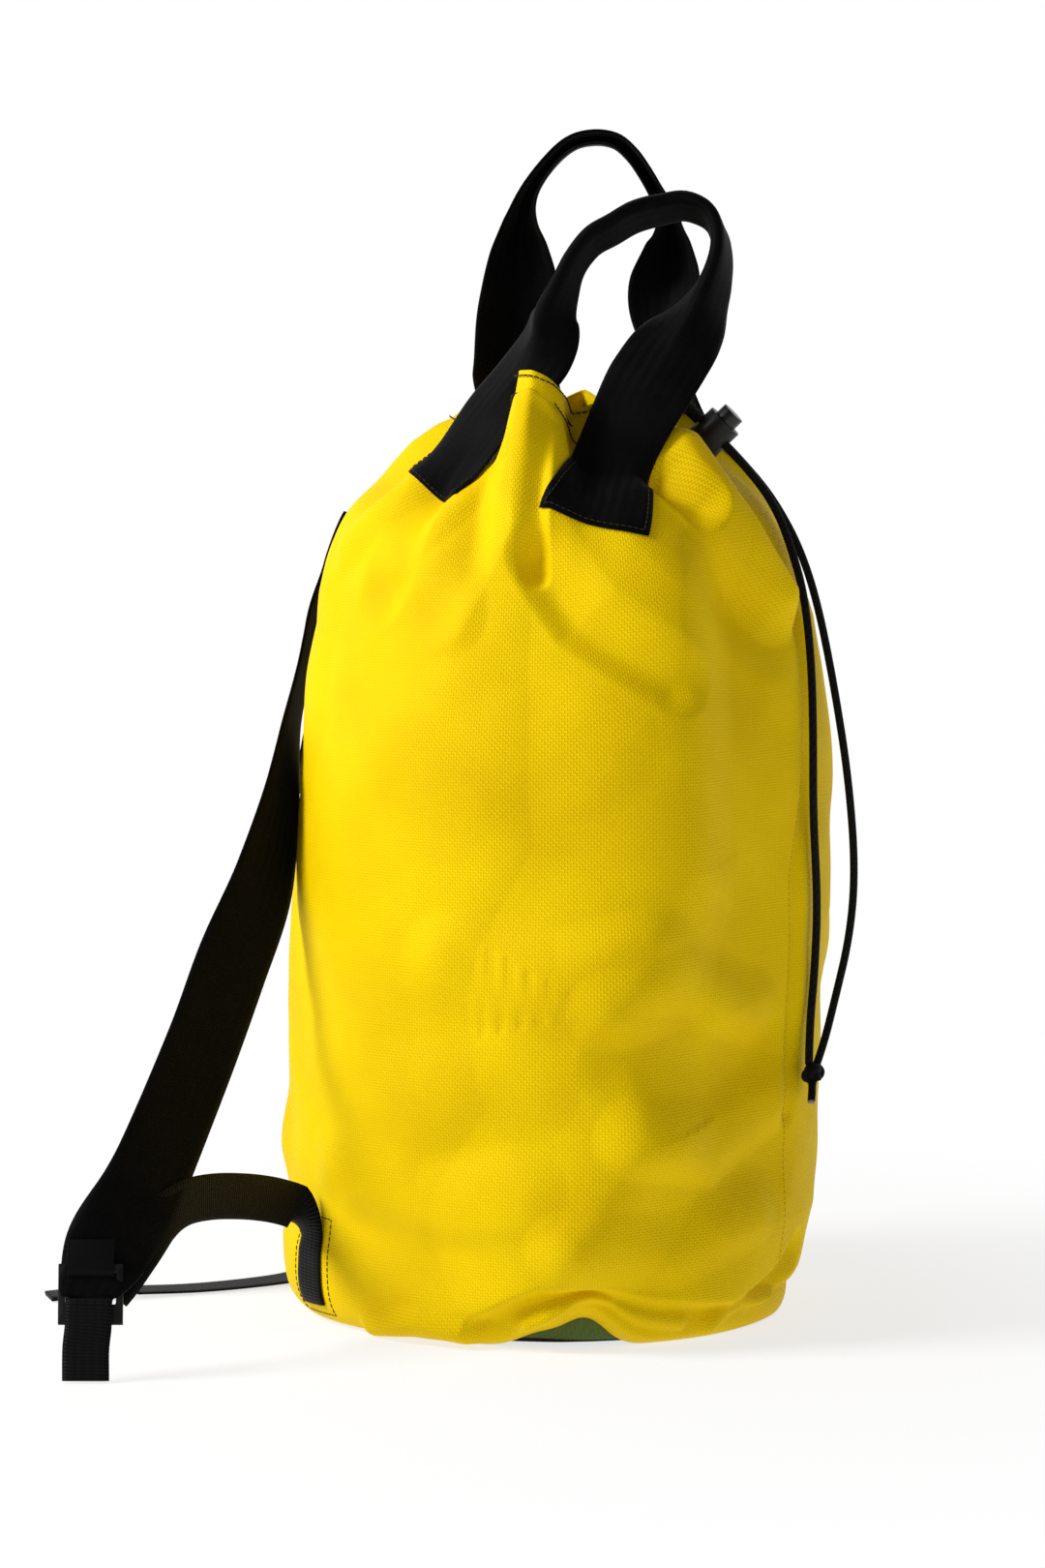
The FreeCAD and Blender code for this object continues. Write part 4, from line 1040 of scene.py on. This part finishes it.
@dataclass
class Handle:
    """A carrying handle, sewn on at both ends and folded double at the grip.

    Attributes:
        inward: The face that the fold hides, at the start, the grip and the end.
        stations: Centre and fold angle in degrees along the free part.
        bend: Where the sewn end gives way to the swinging part; not used.
    """

    name: str
    body: str
    first: Sewn
    last: Sewn
    inward: tuple[tuple[float, float, float], ...]
    stations: tuple[tuple[float, float, float, float], ...]
    nodes: tuple[str, ...]
    bend: tuple[tuple[float, float, float], tuple[float, float, float]]
    width: float = 49.0
    thickness: float = 1.7
    columns: int = 21

    def build(self, tube: Tube, finishes: Finishes) -> None:
        """Make the whole handle as one strip and its stitching."""
        start = self.first.grid(tube, self.width, self.columns, 1.1)
        finish = self.last.grid(tube, self.width, self.columns, 1.1)[::-1]
        centres = np.array([station[:3] for station in self.stations])
        folds = np.array([[station[3]] for station in self.stations])
        line = smooth_line(np.hstack([centres, folds]), 2.2)
        along = unit(np.gradient(line[:, :3], axis=0))
        share = np.linspace(0.0, 1.0, len(line))
        faces = np.array(self.inward)
        rising = smoothstep(share, 0.0, 0.35)
        falling = smoothstep(share, 0.65, 1.0)
        inward = unit(np.outer(1.0 - rising, faces[0]) + np.outer(rising - falling, faces[1])
                      + np.outer(falling, faces[2]))
        across = unit(np.cross(inward, along))
        widths = np.full((len(line), 1), self.width)
        loop = folded_grid(np.hstack([line[:, :3], across, widths, line[:, 3:]]), self.columns)
        start = turned_like(start, -1, loop[0])
        finish = turned_like(finish, 0, loop[-1])
        grid = np.concatenate([start, loop, finish], axis=0)
        entry, leave = len(start), len(start) + len(loop)
        grid = soften_rows(grid, entry - 7, entry + 9, 24)
        grid = soften_rows(grid, leave - 9, leave + 7, 24)
        strip = thick_band(self.name, grid, self.thickness)
        dress_piece(strip, finishes.smooth, Slot.WIDE_WEBBING, None, *self.nodes)
        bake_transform(strip)
        for label, patch in (("first", start), ("last", finish[::-1])):
            inner = patch[1:, 1:-1]
            normal = grid_normals(patch)[1:, 1:-1]
            normal *= np.sign(np.sum(normal * (inner - np.array([0.0, 0.0, 400.0])), axis=-1,
                                     keepdims=True))
            rim_points = np.concatenate([inner[::-1, 0], inner[0, 1:-1], inner[:, -1]])
            rim_normals = np.concatenate([normal[::-1, 0], normal[0, 1:-1], normal[:, -1]])
            stitches = stitch_run(f"{self.name}_{label}_stitching",
                                  rim_points + rim_normals * 1.0, rim_normals)
            dress_piece(stitches, finishes.thread, Slot.WIDE_WEBBING, "bag")


def left_handle() -> Handle:
    """The handle on the wearer's left, whose rear end passes behind the front pleat."""
    return Handle(
        "left_handle", "left_handle", Sewn((-113, 462), (-107, 480)), Sewn((-59, 441), (-47, 481)),
        ((0.25, 0.68, -0.60), (-0.17, 0.86, -0.48), (-0.40, 0.66, -0.60)),
        ((-13, -76, 499, 5), (-4, -63, 513, 8), (4, -52, 527, 20), (11, -47, 543, 42),
         (15, -49, 557, 62), (21, -45, 571, 80), (26, -40, 584, 87), (33, -32, 596, 88),
         (42, -23, 603, 88), (51, -12, 610, 88), (62, -1, 614, 88), (74, 6, 616, 88),
         (85, 11, 611, 87), (91, 11, 602, 86), (93, 8, 590, 82), (92, 2, 578, 74),
         (89, -5, 566, 62), (86, -15, 554, 42), (82, -25, 543, 22), (78, -33, 533, 10),
         (73, -43, 520, 5), (67, -53, 506, 3)),
        ("left_handle_loop", "left_handle_front_foot", "left_handle_back_foot"),
        ((19, -78, 486), (24, -66, 512)))


def right_handle() -> Handle:
    """The handle on the wearer's right, on the far side of the mouth."""
    return Handle(
        "right_handle", "right_handle", Sewn((124, 446), (120, 482)), Sewn((48, 446), (46, 484)),
        ((0.37, -0.62, -0.60), (0.36, -0.93, 0.05), (-0.50, -0.50, -0.60)),
        ((-44, 54, 505, 3), (-44, 46, 519, 4), (-42, 43, 533, 8), (-40, 40, 553, 16),
         (-37, 36, 572, 30), (-35, 32, 594, 52), (-32, 28, 611, 72), (-25, 24, 626, 84),
         (-13, 23, 641, 88), (0, 23, 651, 88), (12, 27, 654, 88), (23, 31, 652, 88),
         (31, 34, 645, 88), (37, 37, 636, 88), (43, 41, 624, 87), (48, 45, 612, 82),
         (49, 48, 602, 72), (49, 49, 594, 60), (48, 51, 581, 42), (46, 52, 567, 28),
         (46, 52, 553, 18), (48, 52, 538, 10), (51, 51, 523, 5), (53, 50, 508, 3)),
        ("right_handle_loop", "right_handle_front_foot", "right_handle_back_foot"),
        ((12, 59, 488), (12, 50, 514)))


@dataclass
class Strap:
    """A band that hangs free, through stations of centre, direction across and width."""

    name: str
    stations: tuple[tuple[float, ...], ...]
    thickness: float = 2.0
    step: float = 2.5
    columns: int = 13
    fold: float = 0.0

    def grid(self) -> np.ndarray:
        """Mid-surface points of the band."""
        table = np.array(self.stations)
        line = smooth_line(table, self.step)
        return folded_grid(np.hstack([line[:, :7], np.full((len(line), 1), self.fold)]),
                           self.columns)


@dataclass
class Straps:
    """The shoulder straps with their webbing, sewn anchors and tails."""

    tube: Tube
    finishes: Finishes

    def build(self) -> None:
        """Make both sides."""
        self.shoulder("left", Sewn((-167.5, 407), (-167.5, 444)), (
            (-132.0, -30, 400, 0.217, -0.976, 0, 46), (-136.0, -36, 368, 0.23, -0.97, 0, 44),
            (-136.5, -55, 331, 0.22, -0.97, 0.1, 42), (-131.5, -82, 285, -0.06, -0.86, 0.4, 43),
            (-128.0, -114, 243, -0.36, -0.77, 0.52, 45), (-130.0, -150, 203, -0.50, -0.66, 0.56, 46),
            (-130.5, -187, 162, -0.50, -0.66, 0.56, 46), (-132.5, -235, 112, -0.52, -0.64, 0.55, 47),
            (-134.0, -256, 92, -0.60, -0.58, 0.48, 47), (-139.0, -275, 74, -0.75, -0.50, 0.36, 47),
            (-142.5, -282, 63, -0.88, -0.42, 0.16, 44), (-145.5, -286, 55, -0.92, -0.38, 0.04, 38),
            (-148.0, -289, 48, -0.927, -0.375, 0, 31), (-149.0, -290, 42, -0.927, -0.375, 0, 27)))
        self.shoulder("right", Sewn((167.5, 407), (167.5, 444)), (
            (-134.5, 29.3, 400, 0.217, 0.976, 0, 46), (-141, 27.5, 366, 0.19, 0.98, 0, 46),
            (-151.0, 17.5, 331, 0.0, 1.0, 0, 46), (-161.5, 2.5, 287, -0.3, 0.95, -0.1, 46),
            (-174.5, -17.0, 238, -0.41, 0.90, -0.13, 46), (-185.0, -30.0, 193, -0.41, 0.90, -0.13, 46),
            (-199.0, -44.0, 140, -0.41, 0.90, -0.13, 46), (-212.0, -54.5, 98, -0.45, 0.88, -0.10, 45),
            (-223.0, -64.0, 66, -0.55, 0.84, 0, 38), (-231.0, -71.5, 44, -0.62, 0.78, 0, 31),
            (-234.5, -75.0, 34, -0.62, 0.78, 0, 28)))
        self.lower("left", -131.5, (
            (-101.8, -115.5, 59, 0.72, -0.60, 0.2, 25), (-102.8, -120, 65, 0.45, -0.4, 0.8, 25),
            (-104.5, -130, 69.5, 0.05, -0.05, 1, 25), (-108, -150, 75.5, 0, 0, 1, 25),
            (-112, -176, 81, 0, 0, 1, 25), (-117, -205, 85, -0.02, 0, 1, 25),
            (-121, -229, 85, -0.06, 0, 1, 25), (-126, -247, 78, -0.20, 0, 0.97, 25),
            (-132, -262, 64, -0.50, -0.1, 0.8, 25), (-138, -270, 52, -0.80, -0.3, 0.5, 25),
            (-143, -275, 44, -0.90, -0.36, 0.2, 25)))
        self.lower("right", 131.5, (
            (-101.8, 115.2, 60, 0.75, 0.66, 0, 25), (-106, 118.0, 63.5, 0.72, 0.68, 0, 25),
            (-114, 121, 61, 0.72, 0.62, 0, 25), (-124.5, 118, 48, 0.8, 0.6, 0, 25),
            (-135, 105, 25, 0.85, 0.5, 0, 25), (-145.5, 82, 6.5, 0.92, 0.35, 0, 25),
            (-152.5, 58, 1.7, 0.96, 0.25, 0, 25), (-160.5, 26, 1.4, 0.98, 0.2, 0, 25),
            (-168, 0, 1.4, 0.9, -0.4, 0, 25), (-185, -27, 1.4, 0.78, -0.62, 0, 25),
            (-206, -50, 1.5, 0.68, -0.73, 0, 25), (-231, -71.5, 2.4, 0.62, -0.78, 0, 25)))

        self.tail("left", (
            (-148.2, -284.8, 43.0, 0.927, 0.375, 0, 24.6), (-145.3, -292.4, 42, 0.927, 0.375, 0, 24.6),
            (-144.7, -294.1, 37.5, 0.927, 0.375, 0, 24.6), (-144.6, -295, 28.5, 0.927, 0.375, 0, 24.6),
            (-145, -297, 17, 0.927, 0.375, 0, 24.6), (-144.2, -299, 1.0, 0.927, 0.375, 0, 24.6)))
        self.tail("right", (
            (-242.7, -81.3, 10.0, 0.62, -0.785, 0, 24.6), (-248.2, -85.6, 14.3, 0.62, -0.785, 0, 24.6),
            (-251.5, -88.2, 11.8, 0.62, -0.785, 0, 24.6), (-256.4, -92, 5.2, 0.62, -0.785, 0, 24.6),
            (-261.5, -96.5, 2.4, 0.62, -0.785, 0, 24.6), (-269, -102.5, 1.6, 0.62, -0.785, 0, 24.6)))

    def tail(self, side: str, stations: tuple[tuple[float, ...], ...]) -> None:
        """The loose end of the narrow webbing, with its tip folded over and melted."""
        grid = Strap(side, stations, step=1.0, columns=9).grid()
        thickness = np.full(len(grid), 1.5)
        thickness[-10:] = 2.8
        strip = thick_band(f"{side}_ladder_tail", grid, thickness)
        dress_piece(strip, self.finishes.ribbed, Slot.RIBBED_WEBBING, f"{side}_lock",
                    f"{side}_webbing_tail")

    def shoulder(self, side: str, sewn: Sewn, stations: tuple[tuple[float, ...], ...]) -> None:
        """One wide strap, sewn on below the mouth and gathered into its keeper."""
        patch = sewn.grid(self.tube, 47.0, 13, 1.2)[::-1]
        free = Strap(side, stations).grid()
        patch = turned_like(patch, -1, free[0])
        grid = soften_rows(np.concatenate([patch, free]), len(patch) - 6, len(patch) + 8, 16)
        thickness = np.full(len(grid), 1.8)
        thickness[-26:] = np.linspace(1.8, 3.6, 26)
        strip = thick_band(f"{side}_strap_webbing", grid, thickness)
        dress_piece(strip, self.finishes.smooth, Slot.WIDE_WEBBING, None,
                    f"{side}_shoulder_strap", f"{side}_shoulder_strap_top",
                    f"{side}_strap_top_patch")
        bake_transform(strip)

    def lower(self, side: str, azimuth: float, stations: tuple[tuple[float, ...], ...]) -> None:
        """The narrow webbing from its sewn end to the ladder lock."""
        sewn = Sewn((azimuth, 14.0), (azimuth, 54.0))
        patch = sewn.grid(self.tube, 24.6, 9, 1.0)
        free = Strap(side, stations, columns=9).grid()
        patch = turned_like(patch, -1, free[0])
        grid = soften_rows(np.concatenate([patch, free]), len(patch) - 3, len(patch) + 5, 8)
        strip = thick_band(f"{side}_ladder_webbing", grid, 1.5)
        dress_piece(strip, self.finishes.ribbed, Slot.RIBBED_WEBBING, None,
                    f"{side}_lower_webbing", f"{side}_webbing_turn", f"{side}_anchor_webbing")
        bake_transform(strip)
        backing = sewn.grid(self.tube, 43.0, 13, -1.6)
        lining = thick_band(f"{side}_anchor_backing", backing, 1.0)
        dress_piece(lining, self.finishes.yellow, Slot.BACKING, "bag", f"{side}_anchor_patch")
        self.box_stitch(side, azimuth)

    def box_stitch(self, side: str, azimuth: float) -> None:
        """The stitched rectangle round the sewn end."""
        tube = self.tube
        reach = math.degrees(18.0 / tube.radius)
        low, high = 9.0, 61.0
        corners = [(azimuth - reach, low), (azimuth - reach, high), (azimuth + reach, high),
                   (azimuth + reach, low), (azimuth - reach, low)]
        turns, heights = [], []
        for (first_a, first_z), (last_a, last_z) in zip(corners, corners[1:]):
            turns.append(np.linspace(first_a, last_a, 40))
            heights.append(np.linspace(first_z, last_z, 40))
        direction = np.radians(np.concatenate(turns))
        arcs = tube.arc_at(np.concatenate(heights))
        outward = tube.normal(direction, arcs)
        stitches = stitch_run(f"{side}_anchor_stitching",
                              tube.surface(direction, arcs) + outward * 0.1, outward)
        dress_piece(stitches, self.finishes.thread, Slot.RIBBED_WEBBING, "bag")


# --- Hardware that keeps its CAD shape, with moulded edges ------------------------------------

def softened_copy(node: str, name: str, edge_mm: float) -> bpy.types.Object:
    """A copy of a CAD node's mesh with rounded edges."""
    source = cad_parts[node]
    made = bpy.data.objects.new(name, source.data.copy())
    bpy.context.scene.collection.objects.link(made)
    mesh = bmesh.new()
    mesh.from_mesh(made.data)
    bmesh.ops.remove_doubles(mesh, verts=mesh.verts, dist=WELD_DISTANCE)
    if edge_mm > 0.0:
        bmesh.ops.dissolve_limit(mesh, angle_limit=math.radians(3.0), verts=mesh.verts,
                                 edges=mesh.edges)
    mesh.to_mesh(made.data)
    mesh.free()
    if edge_mm <= 0.0:
        made.data.shade_smooth()
        return made
    bevel = made.modifiers.new("edges", "BEVEL")
    bevel.width = edge_mm * MM
    bevel.segments = 3
    bevel.limit_method = "ANGLE"
    bevel.angle_limit = math.radians(35.0)
    apply_modifiers(made)
    return made


@dataclass
class Hardware:
    """Ladder locks, keepers, eyelets and the cord lock."""

    finishes: Finishes
    press_direction: tuple[float, float, float] = (-0.69846, -0.17415, -0.69413)
    press_travel: float = 3.0

    def build(self) -> None:
        """Dress each small piece."""
        for side in ("left", "right"):
            self.copy(f"{side}_ladder_lock", 0.7, self.finishes.acetal, Slot.MOULDING,
                      f"{side}_lock")
            self.copy(f"{side}_lock_keeper", 0.3, self.finishes.ribbed, Slot.RIBBED_WEBBING,
                      f"{side}_strap")
        self.copy("cord_lock_barrel", 0.6, self.finishes.acetal, Slot.MOULDING, "cord_lock")
        self.copy("cord_lock_button", 0.5, self.finishes.button, Slot.BUTTON, "cord_lock_button")
        self.copy("drawcord_eyelet_front", 0.25, self.finishes.eyelet, Slot.EYELET, "bag")
        self.copy("drawcord_eyelet_back", 0.25, self.finishes.eyelet, Slot.EYELET, "bag")
        self.coil()

    def coil(self) -> None:
        """The spring, as a copy with a mesh of its own."""
        piece = softened_copy("cord_lock_spring", "cord_lock_coil", 0.0)
        dress_piece(piece, self.finishes.spring, Slot.SPRING, "cord_lock", "cord_lock_spring")
        bpy.context.view_layer.update()
        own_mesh(piece)

    def copy(self, node: str, edge: float, material: bpy.types.Material, slot: Slot,
             body: str) -> None:
        """One softened copy that stands for its node."""
        piece = softened_copy(node, f"{node}_moulded", edge)
        dress_piece(piece, material, slot, body, node)


# --- Cords -------------------------------------------------------------------------------------

@dataclass
class Drawcord:
    """The drawcord's two hanging legs, its ring in the hem and its knot."""

    tube: Tube
    finishes: Finishes
    diameter: float = 4.5

    LEFT = (
        (62.26, 5.45, 514.0), (69.2, 6.05, 514.0), (76.6, 16.4, 501.1), (106.9, 24.0, 468.7),
        (119.5, 28.0, 450.0), (129.5, 26.0, 428.0), (139.5, 20.0, 402.0),
        (147.0, 10.5, 367.0), (152.0, 0.0, 331.0), (153.0, -2.5, 283.0),
        (153.0, 6.0, 234.5), (152.8, 2.5, 197.0), (152.9, -6.0, 167.0), (155.0, -13.0, 146.0),
    )
    RIGHT = (
        (57.53, 24.42, 514.0), (63.9, 27.1, 514.0), (75.3, 21.5, 501.1), (105.6, 29.0, 468.7),
        (118.5, 33.0, 451.0), (131.0, 36.5, 427.0), (141.5, 36.5, 397.0),
        (152.0, 34.5, 352.0), (161.8, 32.0, 300.0), (166.9, 29.5, 250.0),
        (165.8, 24.0, 213.0), (160.5, 13.0, 177.0), (158.6, 1.0, 155.0), (157.5, -7.0, 145.5),
    )

    def build(self) -> None:
        """Make the knot, the ring in the hem and both legs."""
        knot = self.knot()
        self.ring()
        left = self.strand("drawcord_left", [self.LEFT])
        dress_piece(left, self.finishes.cord, Slot.CORD, "bag", "drawcord_left_leg")
        right = self.strand("drawcord_right", [self.RIGHT])
        dress_piece(right, self.finishes.cord, Slot.CORD, "bag", "drawcord_right_leg")

    def strand(self, name: str, runs: Sequence[Sequence[Sequence[float]]],
               diameter: Optional[float] = None) -> bpy.types.Object:
        """A round cord along one or more smooth splines."""
        curve = bpy.data.curves.new(name, "CURVE")
        curve.dimensions = "3D"
        curve.bevel_depth = (diameter or self.diameter) / 2.0 * MM
        curve.bevel_resolution = 4
        curve.resolution_u = 12
        curve.use_fill_caps = True
        for points in runs:
            spline = curve.splines.new("NURBS")
            spline.points.add(len(points) - 1)
            for place, point in zip(spline.points, points):
                place.co = (*metres(point), 1.0)
            spline.order_u = 3
            spline.use_endpoint_u = True
        made = bpy.data.objects.new(name, curve)
        bpy.context.scene.collection.objects.link(made)
        return made

    def ring(self) -> None:
        """The cord inside the hem, which follows the gathers."""
        arc = self.tube.arc_at(514.0)
        turns = np.radians(np.linspace(31.0, 357.0, 90))
        line = self.tube.surface(turns, np.full_like(turns, arc))
        flat = line.copy()
        flat[:, 2] = 0.0
        line = line - unit(flat) * 1.3
        piece = self.strand("drawcord_in_hem", [line.tolist()], 2.2)
        dress_piece(piece, self.finishes.cord, Slot.CORD, "bag", "drawcord_ring")

    def knot(self) -> bpy.types.Object:
        """An overhand knot tied with both legs together, with its two cut ends."""
        centre = np.array([157.0, -12.0, 140.0])
        runs = []
        for shift in (-1.0, 1.0):
            points = []
            for step in range(15):
                t = math.radians(-150.0 + step * 300.0 / 14.0)
                points.append(centre + np.array([
                    1.6 * math.sin(3 * t) + shift * 1.9,
                    2.1 * (math.sin(t) + 2.0 * math.sin(2 * t)) * 0.85,
                    2.0 * (math.cos(t) - 2.0 * math.cos(2 * t)) * 0.95 + shift * 0.6]))
            runs.append([tuple(p) for p in points])
        runs.append([(155.2, -12.8, 146.5), (155.6, -12.5, 142.0), (157.5, -14.5, 136.0),
                     (158.5, -18.0, 130.0), (158.9, -20.0, 126.6)])
        runs.append([(157.4, -7.5, 146.0), (157.6, -9.5, 141.0), (156.0, -10.5, 134.0),
                     (155.6, -9.0, 129.5), (155.2, -8.6, 127.0)])
        piece = self.strand("tied_knot", runs, 4.3)
        dress_piece(piece, self.finishes.cord, Slot.CORD, "bag", "drawcord_knot")
        tip = self.strand("sealed_cord_tip", [[(158.85, -19.7, 127.2), (158.95, -20.2, 126.2),
                                               (159.0, -20.5, 125.5)]], 3.9)
        dress_piece(tip, self.finishes.melted, Slot.CORD, "bag")
        return piece


# --- Studio ---------------------------------------------------------------------------------------

def studio() -> None:
    """A pale floor, soft light and the camera."""
    scene = bpy.context.scene
    scene.view_settings.view_transform = "Standard"
    world = bpy.data.worlds.new("studio")
    scene.world = world
    world.use_nodes = True
    tree = world.node_tree
    tree.nodes["Background"].inputs["Color"].default_value = linear("#ffffff")
    direction = add_node(tree, "ShaderNodeTexCoord").outputs["Generated"]
    facing = add_node(tree, "ShaderNodeVectorMath", {"operation": "DOT_PRODUCT", 1: (-0.38, 0.92, 0.0)},
                      {0: direction}).outputs["Value"]
    wall = add_node(tree, "ShaderNodeMapRange", {1: 0.3, 2: 0.8, 3: 0.24, 4: 1.0}, {0: facing})
    tree.links.new(wall.outputs[0], tree.nodes["Background"].inputs["Strength"])
    floor = new_object("floor", np.array([[x * FLOOR_REACH, y * FLOOR_REACH, -FLOOR_DROP] for x, y in
                                          ((-1, -1), (1, -1), (1, 1), (-1, 1))]), [[0, 1, 2, 3]])
    floor.data.materials.append(PaperSweep("matt_paper_floor", "#ffffff", 0.9, 0.0).build())
    light = bpy.data.lights.new("key", "AREA")
    light.energy = 72.0
    light.size = 0.9
    azimuth, elevation, distance, height = math.radians(-140.0), math.radians(34.0), 2.6, 0.3
    flat = math.cos(elevation) * distance
    place_and_aim("key", light, (flat * math.cos(azimuth), flat * math.sin(azimuth),
                                 height + math.sin(elevation) * distance), (0.0, 0.0, height))
    lens = bpy.data.cameras.new("camera")
    lens.lens = 116.3
    scene.camera = place_and_aim("camera", lens, (1.0594, -2.622, 0.55), (-0.0176, -0.0071, 0.294))


def place_and_aim(name: str, data: Any, place: Sequence[float],
                  target: Sequence[float]) -> bpy.types.Object:
    """A lamp or camera at a place in metres, turned towards a target."""
    made = bpy.data.objects.new(name, data)
    bpy.context.scene.collection.objects.link(made)
    made.location = place
    made.rotation_euler = (Vector(target) - made.location).to_track_quat("-Z", "Y").to_euler()
    return made


def main() -> None:
    """Build the bag piece by piece."""
    logging.basicConfig(level=logging.INFO, format="%(name)s: %(message)s")
    studio()
    finishes = Finishes()
    tube = Tube()
    Cloth(tube, finishes).build()
    Hardware(finishes).build()
    Drawcord(tube, finishes).build()
    for handle in (left_handle(), right_handle()):
        handle.build(tube, finishes)
    Straps(tube, finishes).build()


if __name__ == "__main__":
    main()
